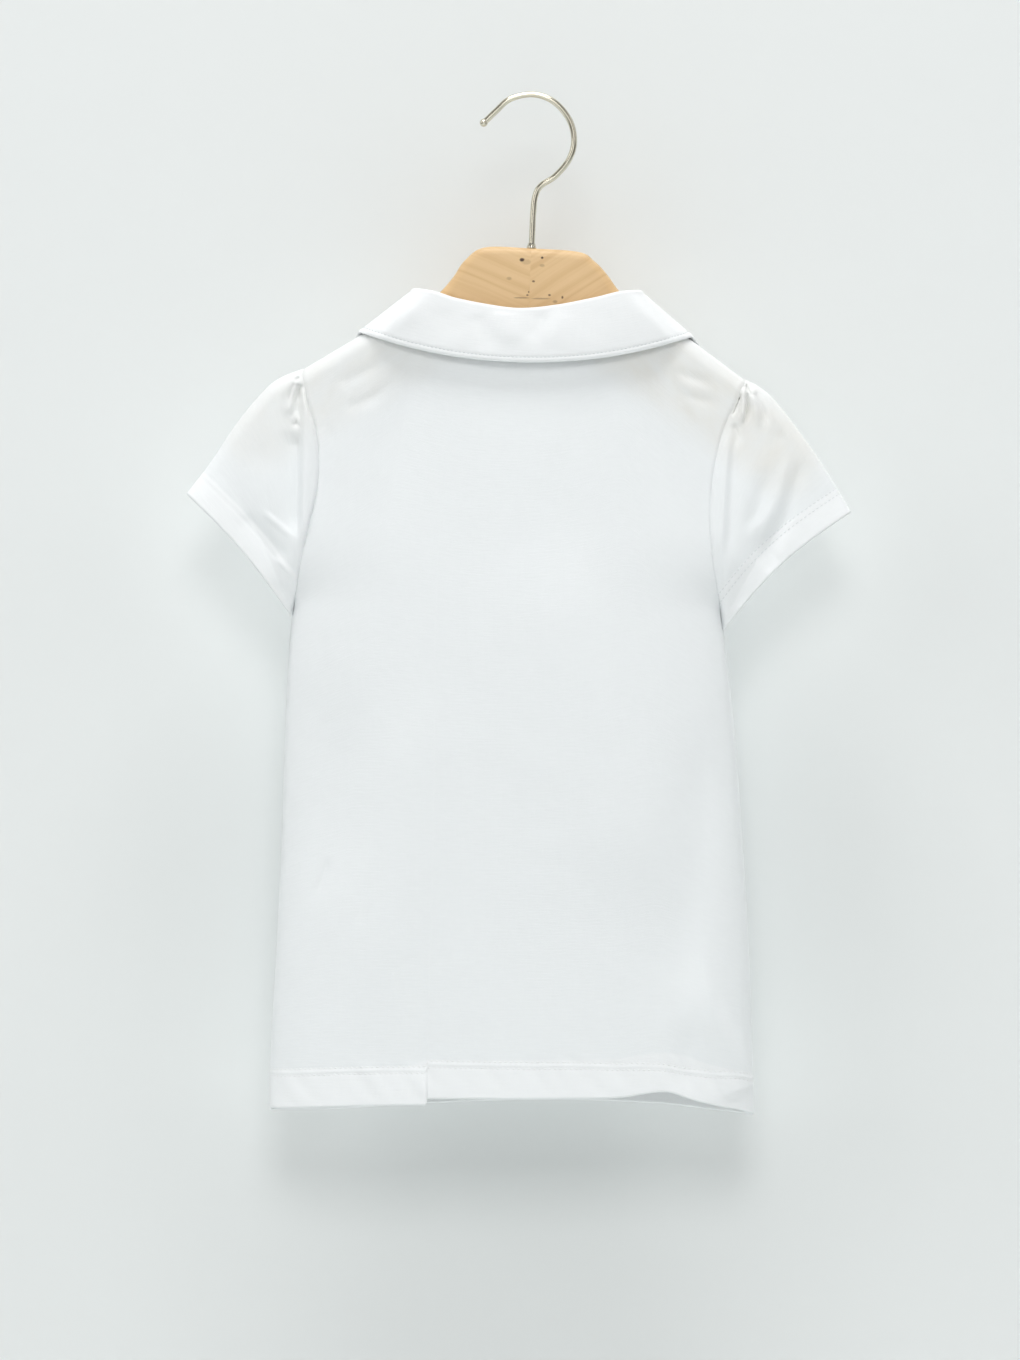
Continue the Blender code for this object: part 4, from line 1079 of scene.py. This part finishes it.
def wood_finish(name, side, slope):
    """Pale varnished wood, its grain falling away from the joint, with small dark knots."""
    finish = Finish(name, Roughness=0.42, Coat_Weight=0.12, Coat_Roughness=0.25)
    place = finish.place()
    turned = finish.mapped(place, turn=(0, side * math.radians(slope), 0))
    wander = finish.grain(turned, (14, 30, 60), 3.0)
    rings = finish.node("ShaderNodeTexNoise", {"W": finish.part(turned, 2) * 260 + wander * 1.6, "Scale": 1.0,
                                               "Detail": 2.5, "Roughness": 0.55}, noise_dimensions="1D")
    late = finish.ramp(rings, ((0.42, 0.0), (0.60, 0.55), (0.68, 1.0)))
    fibre = finish.grain(turned, (60, 700, 1400), 3.0, 0.6)
    broad = finish.grain(turned, (12, 12, 40))
    color = finish.blend(broad, WOOD_COLORS["early wood"], WOOD_COLORS["broad band"])
    color = finish.blend(late * 0.50, color, WOOD_COLORS["late wood"])
    color = finish.blend(fibre * 0.30, color, WOOD_COLORS["fibre"])
    x, z = finish.part(place, 0), finish.part(place, 2)
    rough_edge = finish.grain(place, (500, 500, 500))
    dark = None
    for knot_x, drop, half_width, half_height, strength, arm in KNOTS:
        if arm != side:
            continue
        dx = (x - knot_x * MM) * (1 / (half_width * MM))
        dz = (z + drop * MM) * (1 / (half_height * MM))
        away = dx * dx + dz * dz + rough_edge * 0.9
        spot = finish.node("ShaderNodeMapRange", {"Value": away, "From Min": 1.5, "From Max": 0.7,
                                                  "To Min": 0.0, "To Max": strength}, clamp=True)
        dark = spot if dark is None else finish.math("MAXIMUM", dark, spot)
    finish.put("Base Color", finish.blend(dark, color, WOOD_COLORS["knot"]))
    finish.put("Roughness", 0.40 + fibre * 0.16)
    finish.put("Normal", finish.bump(dark, 0.0002, 0.6, finish.bump(fibre, 0.00006, 0.5)))
    return finish.material


def nickel_finish(name):
    """Polished nickel wire, with faint drawing marks and a little haze."""
    finish = Finish(name, Metallic=1.0, Roughness=0.2)
    place = finish.place()
    haze = finish.grain(place, (90, 90, 90), 3.0)
    marks = finish.grain(place, (2600, 2600, 300))
    finish.put("Base Color", finish.blend(haze, (0.63, 0.59, 0.48), (0.75, 0.71, 0.59)))
    finish.put("Roughness", 0.13 + haze * 0.14)
    finish.put("Normal", finish.bump(marks, 0.00001, 0.4))
    return finish.material


# ---- The hanger -----------------------------------------------------------------------------

HANGER_TILT = math.radians(2.8)
PLATE_THICKNESS = 12.0
PLATE_EDGE_ROUND = 4.5
JOINT_X = 3.0
JOINT_TOP = 78.6
JOINT_BOTTOM = 129.6
JOINT_GAP = 0.12          # between the two arms' sawn ends
# The hanger's outline in its own frame, out along each arm's top and back below it. Each point is a
# distance from the joint and a drop.
ARM_OUTLINES = {
    LEFT: (
        (24.0, 79.2), (34.2, 86.4), (40.4, 96.2), (48.0, 105.2), (60.0, 113.0), (90.0, 133.0),
        (115.0, 149.8), (129.0, 160.4), (139.5, 171.0), (145.0, 182.0), (143.0, 192.0), (134.0, 193.8),
        (116.0, 181.6), (88.0, 162.6), (58.0, 144.0), (28.0, 132.4),
    ),
    RIGHT: (
        (24.6, 79.2), (33.0, 83.6), (39.6, 89.8), (47.2, 99.0), (58.0, 106.8), (90.0, 128.3),
        (114.0, 144.5), (128.6, 154.6), (139.2, 163.8), (145.7, 174.4), (144.7, 184.2), (136.3, 187.2),
        (116.0, 176.4), (88.0, 160.4), (58.0, 142.0), (28.0, 131.8),
    ),
}
ROUTE_STEPS = 8           # from one point of an outline or route to the next
ARM_MIDDLE = ((44, 117.0), (136, 178.0))     # the line along the middle of an arm
WOOD_SHADE_MOST = {LEFT: 0.6, RIGHT: 1.0}        # how strongly each arm's wood shows through the cloth, as painted warm shade
WOOD_SHADE_REACH = 30.0       # how far from that line it shows
WOOD_SHADE_FADE = 22.0
WOOD_SHADE_DEPTH = 26.0       # how far in front of the wood or behind it
WOOD_SHADE_DEPTH_FADE = 16.0
WIRE_DIAMETER = 3.2
BALL_DIAMETER = 4.2
HOOK_ROUTE = (
    (-25.0, 14.5),
    (-18.8, 7.9),
    (-11.8, 1.4),
    (0.0, -1.6),
    (11.2, 1.9),
    (19.7, 11.2),
    (22.4, 22.0),
    (20.2, 31.4),
    (13.6, 40.2),
    (6.3, 45.7),
    (3.6, 51.4),
    (3.0, 60.0),
    (3.0, 69.0),
    (3.0, 78.2),
)
FERRULE_PROFILE = (       # (radius, height above the wood)
    (1.5, 2.75),
    (1.85, 2.75),
    (2.05, 2.2),
    (2.45, 0.9),
    (2.6, 0.35),
    (2.5, 0.1),
    (1.5, 0.1),
)


def hung(x, drop):
    """A place in the hanger's own frame as it hangs, a little tilted, in millimetres."""
    z = -drop
    return (x * math.cos(HANGER_TILT) + z * math.sin(HANGER_TILT),
            -x * math.sin(HANGER_TILT) + z * math.cos(HANGER_TILT))


def hung_place(place, y=0.0):
    """The same in metres, at a distance from the plane of the hanger."""
    x, z = hung(*place)
    return x * MM, y, z * MM


def smooth_route(points, steps, closed=False):
    """Points along a smooth curve through a few points."""
    count = len(points)
    route = []
    for index in range(count if closed else count - 1):
        around = [(index + offset) % count if closed else min(max(index + offset, 0), count - 1)
                  for offset in (-1, 0, 1, 2)]
        before, start, end, after = (Vector(points[number]) for number in around)
        for step in range(steps):
            t = step / steps
            bend = (2 * before - 5 * start + 4 * end - after) * t * t
            twist = (3 * start - before - 3 * end + after) * t ** 3
            route.append(0.5 * (2 * start + (end - before) * t + bend + twist))
    return route if closed else route + [Vector(points[-1])]


def shaped(name, finish):
    """The object just modelled, named, finished and with its place put into its mesh."""
    piece = bpy.context.object
    piece.name = name
    piece.data.name = name
    bpy.ops.object.transform_apply(location=True, rotation=True, scale=True)
    piece.data.materials.clear()
    piece.data.materials.append(finish)
    return piece


def edit_all():
    """Goes into edit mode with everything selected."""
    bpy.ops.object.mode_set(mode="EDIT")
    bpy.ops.mesh.select_all(action="SELECT")


def face_outward():
    """Turns every face outward and leaves edit mode."""
    bpy.ops.mesh.select_all(action="SELECT")
    bpy.ops.mesh.normals_make_consistent(inside=False)
    bpy.ops.object.mode_set(mode="OBJECT")


def edit_select(piece, edges_wanted):
    """Goes into edit mode with only the wanted edges selected."""
    bpy.ops.object.mode_set(mode="EDIT")
    bpy.ops.mesh.select_mode(type="EDGE")
    bpy.ops.mesh.select_all(action="DESELECT")
    bpy.ops.object.mode_set(mode="OBJECT")
    corners = piece.data.vertices
    for edge in piece.data.edges:
        edge.select = edges_wanted(*(corners[number].co for number in edge.vertices))
    bpy.ops.object.mode_set(mode="EDIT")


def hanger_arms(finishes):
    """Both arms, from one plate with round edges, sawn apart at the joint."""
    outline = [(JOINT_X, JOINT_TOP)] + [(JOINT_X + reach, drop) for reach, drop in ARM_OUTLINES[RIGHT]]
    outline += [(JOINT_X, JOINT_BOTTOM)]
    outline += [(JOINT_X - reach, drop) for reach, drop in reversed(ARM_OUTLINES[LEFT])]
    route = smooth_route(outline, ROUTE_STEPS, closed=True)
    half = PLATE_THICKNESS / 2 * MM
    arms = []
    for side in (LEFT, RIGHT):
        deselect_all()
        bpy.ops.mesh.primitive_circle_add(vertices=len(route), radius=0.1, fill_type="NGON")
        plate = bpy.context.object
        for corner, place in zip(plate.data.vertices, route):
            corner.co = hung_place(place, -half)
        edit_all()
        bpy.ops.mesh.extrude_region_move(TRANSFORM_OT_translate={"value": (0, 2 * half, 0)})
        face_outward()
        edit_select(plate, lambda a, b: abs(a.y - b.y) < half)
        bpy.ops.mesh.bevel(offset=PLATE_EDGE_ROUND * MM, segments=5, affect="EDGES", clamp_overlap=False)
        bpy.ops.mesh.select_all(action="SELECT")
        bpy.ops.mesh.bisect(plane_co=hung_place((JOINT_X + side * JOINT_GAP / 2, JOINT_TOP)),
                            plane_no=(math.cos(HANGER_TILT) * side, 0, -math.sin(HANGER_TILT) * side),
                            use_fill=True, clear_inner=True)
        face_outward()
        bpy.ops.object.shade_smooth_by_angle(angle=math.radians(35))
        arms.append(shaped("left_arm" if side == LEFT else "right_arm", finishes[side]))
    return arms


def hanger_hook(finish):
    """The bent wire, with the ball at its tip."""
    deselect_all()
    bpy.ops.curve.primitive_bezier_curve_add()
    curve = bpy.context.object.data
    curve.splines.clear()
    spline = curve.splines.new("POLY")
    route = smooth_route(HOOK_ROUTE, ROUTE_STEPS)
    spline.points.add(len(route) - 1)
    for point, place in zip(spline.points, route):
        point.co = (*hung_place(place), 1.0)
    curve.bevel_depth = WIRE_DIAMETER / 2 * MM
    curve.bevel_resolution = 6
    curve.use_fill_caps = True
    bpy.ops.object.convert(target="MESH")
    wire = bpy.context.object
    deselect_all()
    bpy.ops.mesh.primitive_uv_sphere_add(segments=28, ring_count=18, radius=BALL_DIAMETER / 2 * MM,
                                         location=hung_place(HOOK_ROUTE[0]))
    wire.select_set(True)
    bpy.context.view_layer.objects.active = wire
    bpy.ops.object.join()
    bpy.ops.object.shade_smooth_by_angle(angle=math.radians(40))
    return shaped("hook_wire", finish)


def hook_foot(finish):
    """The turned ferrule at the wire's foot."""
    deselect_all()
    bpy.ops.mesh.primitive_circle_add(vertices=len(FERRULE_PROFILE), radius=0.01)
    ring = bpy.context.object
    for corner, (radius, height) in zip(ring.data.vertices, FERRULE_PROFILE):
        corner.co = (radius * MM, 0.0, height * MM)
    edit_all()
    bpy.ops.mesh.spin(steps=40, angle=2 * math.pi, center=(0, 0, 0), axis=(0, 0, 1))
    bpy.ops.mesh.select_all(action="SELECT")
    bpy.ops.mesh.remove_doubles(threshold=0.00001)
    face_outward()
    bpy.ops.object.shade_smooth_by_angle(angle=math.radians(50))
    ring.location = hung_place((JOINT_X, JOINT_TOP))
    ring.rotation_euler = (0.0, HANGER_TILT, 0.0)
    return shaped("hook_ferrule_ring", finish)


# ---- The studio -------------------------------------------------------------------------------

def studio_finish(name, color, see_through=False):
    """A matt painted surface. A see-through one hides nothing from behind."""
    finish = Finish(name, Roughness=0.95)
    shade = finish.noise(finish.place(), 1.2)
    finish.put("Base Color", finish.blend(shade, color, [0.975 * part for part in color]))
    if see_through:
        behind = finish.node("ShaderNodeNewGeometry", output="Backfacing")
        clear = finish.node("ShaderNodeBsdfTransparent")
        paint = Strand(finish, finish.shader.outputs[0])
        both = finish.node("ShaderNodeMixShader", {0: behind, 1: paint, 2: clear})
        finish.plug(finish.tree.nodes["Material Output"].inputs["Surface"], both)
    return finish.material


UPRIGHT = (math.radians(90), 0, 0)
STUDIO_LIGHTS = (         # (name, location in metres, size in metres, power in watts)
    ("high_softbox", (0, -3.46, 1.70), (1.2, 1.2), 34.0),
    ("overhead_softbox", (0, -1.04, 3.56), (3.4, 1.0), 104.0),
    ("front_softbox", (0, -4.0, -0.3), (2.0, 2.0), 15.0),
    ("left_softbox", (-3.2, -2.0, 1.2), (2.0, 2.0), 21.0),
    ("right_softbox", (3.2, -2.0, 1.2), (2.0, 2.0), 10.5),
    ("rear_softbox", (0.88, 3.52, 1.39), (2.4, 2.0), 62.0),
)
LIGHTS_AIM = Vector((0, 0, -0.3))


def studio_plane(name, size, location, rotation, finish):
    deselect_all()
    bpy.ops.mesh.primitive_plane_add(size=size, location=location, rotation=rotation)
    plane = shaped(name, finish)
    return plane


def studio_light(name, location, size, power):
    deselect_all()
    bpy.ops.object.light_add(type="AREA", location=location)
    lamp = bpy.context.object
    lamp.name = name
    lamp.data.shape = "RECTANGLE"
    lamp.data.size, lamp.data.size_y = size
    lamp.data.energy = power
    lamp.rotation_euler = (LIGHTS_AIM - Vector(location)).to_track_quat("-Z", "Y").to_euler()
    lamp.visible_camera = False


def studio():
    """The wall, floor, lights and camera, none of them part of the shirt."""
    wall_paint = studio_finish("pale_wall_paint", (0.832, 0.856, 0.850), see_through=True)
    wall = studio_plane("backdrop_wall", 6.0, (0, 0.062, 1.7), UPRIGHT, wall_paint)
    wall.visible_shadow = False
    floor_paint = studio_finish("pale_floor_paint", (0.74, 0.77, 0.765))
    studio_plane("floor", 8.0, (0, 0, -1.3), (0, 0, 0), floor_paint)
    for light in STUDIO_LIGHTS:
        studio_light(*light)
    world = bpy.data.worlds.new("studio_air")
    world.use_nodes = True
    color, strength = world.node_tree.nodes["Background"].inputs[:2]
    color.default_value = (1.0, 1.0, 1.0, 1.0)
    strength.default_value = 0.22
    scene = bpy.context.scene
    scene.world = world
    scene.view_settings.view_transform = "Standard"
    deselect_all()
    bpy.ops.object.camera_add(location=(-0.012, -3.0, -0.303), rotation=UPRIGHT)
    camera = bpy.context.object
    camera.name = "view_from_behind_the_shirt"
    camera.data.lens = 152.7
    camera.data.sensor_width = 36.0
    scene.camera = camera


# ---- Making the shirt ---------------------------------------------------------------------------

def places_of(piece):
    """The x, y and z of every corner of a piece, in millimetres."""
    places = np.empty(len(piece.data.vertices) * 3)
    piece.data.vertices.foreach_get("co", places)
    return (places.reshape(-1, 3) / MM).T


def mark(piece, name, strength):
    """Gives each point of a cloth piece a mark that its finish reads."""
    piece.data.attributes.new(name, "FLOAT", "POINT").data.foreach_set("value", strength)


def painted_wood_shade(piece):
    """Marks how strongly the painted warm shade of the hanger's wood, seen through the cloth, lies on each
    point of the cloth.
    """
    x, y, z = places_of(piece)
    strength = np.zeros(len(x))
    close = smooth_step((WOOD_SHADE_DEPTH - np.abs(y)) / WOOD_SHADE_DEPTH_FADE)
    for side, most in WOOD_SHADE_MOST.items():
        start, end = (hung(JOINT_X + side * reach, drop) for reach, drop in ARM_MIDDLE)
        away = from_step(x - start[0], z - start[1], end[0] - start[0], end[1] - start[1])
        strength = np.maximum(strength, most * smooth_step((WOOD_SHADE_REACH - away) / WOOD_SHADE_FADE) * close)
    mark(piece, "painted_wood_shade", strength)


def doubled_cloth(piece, edge, depth):
    """Marks the turned hem of a piece: a strip of this depth along its (x, drop) edge."""
    x, _, z = places_of(piece)
    nearest = np.full(len(x), np.inf)
    for (x0, drop0), (x1, drop1) in zip(edge, edge[1:]):
        nearest = np.minimum(nearest, from_step(x - x0, z + drop0, x1 - x0, drop0 - drop1))
    mark(piece, "doubled_cloth", smooth_step((depth + 0.6 - nearest) / 1.2))


def outer_path(surface, thickness, run, other):
    """A path on a cloth's outer face, as (points, normals), from functions for its surface and thickness."""
    step = 0.0008
    here = surface(run, other)
    ahead, up = surface(run + step, other), surface(run, other + step)
    normals = unit(np.cross(ahead - here, up - here))
    return even_path((here + normals * thickness(run, here)[0][:, None], normals))


def hem_stitches(face):
    """The two rows of stitches that hold a panel's turned hem."""
    paths = []
    share = np.linspace(0.012, 0.988, 700)
    hem_length = hem_edge(face, np.array(0.0))[1] - UNDERARM[LEFT][1]
    top = hem_depth(face, hem_edge(face, share)[0])
    for wanted in (top - HEM_ROWS_APART, top):
        rise = wanted / hem_length * (1 - ARMHOLE_SHARE)
        for _ in range(4):
            from_hem = hem_edge(face, share)[1] + panel_surface(face, share, rise)[:, 2]
            rise = rise * wanted / from_hem
        path = outer_path(partial(panel_surface, face), partial(panel_thickness, face), share, rise)
        paths.append((path[0], -path[1]) if face == FRONT else path)
    return paths


def cuff_stitches(side):
    """The two rows of stitches round a sleeve's cuff."""
    paths = []
    for wanted in (CUFF_HEM - CUFF_ROWS_APART, CUFF_HEM):
        for start, end in ((0.10, math.pi - 0.12), (math.pi + 0.12, 2 * math.pi - 0.10)):
            turn = np.linspace(start, end, 400)
            out = np.full(turn.shape, 0.8)
            cuff = sleeve_surface(side, turn, np.ones(turn.shape))
            for _ in range(6):
                from_cuff = np.linalg.norm(sleeve_surface(side, turn, out) - cuff, axis=1)
                out = 1 - (1 - out) * wanted / from_cuff
            path = outer_path(partial(sleeve_surface, side), partial(sleeve_thickness, side), turn, out)
            paths.append((path[0], -path[1]) if side == LEFT else path)
    return paths


def panel_piece(face, finish):
    """The back or the front, as one cloth shell."""
    name = "back_of_shirt" if face == BACK else "front_of_shirt"
    hem_length = hem_edge(face, np.array(0.0))[1] - UNDERARM[LEFT][1]
    body = steps_between((*HEM_GRID, (hem_length, 0)))
    top = steps_between(ARMHOLE_GRID)[1:]
    rise = np.concatenate((body / hem_length * (1 - ARMHOLE_SHARE), 1 - ARMHOLE_SHARE + top * ARMHOLE_SHARE))
    across, up = np.meshgrid(steps_between(PANEL_COLUMNS), rise)
    points = panel_surface(face, across, up)
    outside, inside = panel_thickness(face, across, points)
    if face == FRONT:
        points, outside, inside = points[:, ::-1], outside[:, ::-1], inside[:, ::-1]
    piece = cloth_shell(name, points, outside, inside, finish)
    painted_wood_shade(piece)
    doubled_cloth(piece, list(zip(*hem_edge(face, np.linspace(0, 1, 90)))), HEM_DEPTH)
    return piece


def sleeve_piece(side, finish):
    """A sleeve, as one cloth tube."""
    name = "left_sleeve" if side == LEFT else "right_sleeve"
    around = 2 * math.pi * np.arange(SLEEVE_COLUMNS) / SLEEVE_COLUMNS
    turn, away = np.meshgrid(around, steps_between(SLEEVE_ROWS))
    points = sleeve_surface(side, turn, away)
    outside, inside = sleeve_thickness(side, turn, points)
    if side == LEFT:
        points, outside, inside = points[::-1], outside[::-1], inside[::-1]
    piece = cloth_shell(name, points, outside, inside, finish, closed=True)
    painted_wood_shade(piece)
    cuff = sleeve_surface(side, np.linspace(0, math.pi, 30), np.ones(30))
    doubled_cloth(piece, [(x, -z) for x, _, z in cuff], CUFF_HEM)
    return piece


def collar_piece(finish):
    """The collar, and the path of its topstitching."""
    points, from_edge, row = collar_grid(collar_stations())
    half = COLLAR_THICKNESS / 2
    groove = seam_dip(from_edge - TOPSTITCH_INSET, TOPSTITCH_DIP, 0.5)
    puff = EDGE_PUFF * np.exp(-((from_edge - 1.2) / 0.7) ** 2)
    tip = 0.25 * np.exp(-(from_edge / 0.4) ** 2)
    wall = half - groove + puff - tip
    points = points.transpose(1, 0, 2)
    outward = -surface_normals(points, False)[row]
    path = even_path((points[row] + outward * (half - TOPSTITCH_SINK), outward))
    return cloth_shell("peter_pan_collar", points, wall.T, wall.T, finish), path


# the second colour is the painted warm shade where the hanger's wood lies beneath the cloth
jersey = jersey_finish("white_jersey", (0.900, 0.929, 0.939), (0.855, 0.845, 0.800))
collar_jersey = jersey_finish("white_collar_jersey", (0.89, 0.905, 0.91), (0.89, 0.905, 0.91))
thread = thread_finish("white_thread", (0.93, 0.945, 0.95))
# painted shade: the collar's white topstitching thread is coloured grey for the shade of the groove it sits
# in
painted_shade_thread = thread_finish("painted_shade_white_thread", TWIST_AND_SHADE_COLOR)
cuff_thread = thread_finish("cuff_white_thread", (0.80, 0.83, 0.84))
wood = {LEFT: wood_finish("left_arm_wood", LEFT, 22), RIGHT: wood_finish("right_arm_wood", RIGHT, 33)}
nickel = nickel_finish("polished_nickel")

back = panel_piece(BACK, jersey)
front = panel_piece(FRONT, jersey)
sleeves = [sleeve_piece(side, jersey) for side in (LEFT, RIGHT)]
collar, topstitch_path = collar_piece(collar_jersey)
stitches = {
    "back_hem_stitches": (hem_stitches(BACK), *HEM_STITCH),
    "front_hem_stitches": (hem_stitches(FRONT), *HEM_STITCH),
    "left_cuff_stitches": (cuff_stitches(LEFT), *CUFF_STITCH),
    "right_cuff_stitches": (cuff_stitches(RIGHT), *CUFF_STITCH),
    "collar_topstitching": ([topstitch_path], *TOPSTITCH),
}
threads = {
    "collar_topstitching": painted_shade_thread,
    "left_cuff_stitches": cuff_thread,
    "right_cuff_stitches": cuff_thread,
}
sewn = {name: stitch_row(name, *row, threads.get(name, thread)) for name, row in stitches.items()}
arms = hanger_arms(wood)
hook = hanger_hook(nickel)
foot = hook_foot(nickel)

for piece, node, slot in (
        (back, "back_panel", "jersey"),
        (front, "front_panel", "jersey"),
        (sleeves[0], "sleeve_left", "jersey"),
        (sleeves[1], "sleeve_right", "jersey"),
        (collar, "collar", "collar_jersey"),
        (arms[0], "hanger_arm_left", "hanger_wood"),
        (arms[1], "hanger_arm_right", "hanger_wood"),
        (hook, "hanger_hook", "hook_metal"),
        (foot, "hook_ferrule", "hook_metal")):
    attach(piece, "root")
    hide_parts(node)
for name, piece in sewn.items():
    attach(piece, "root")

studio()
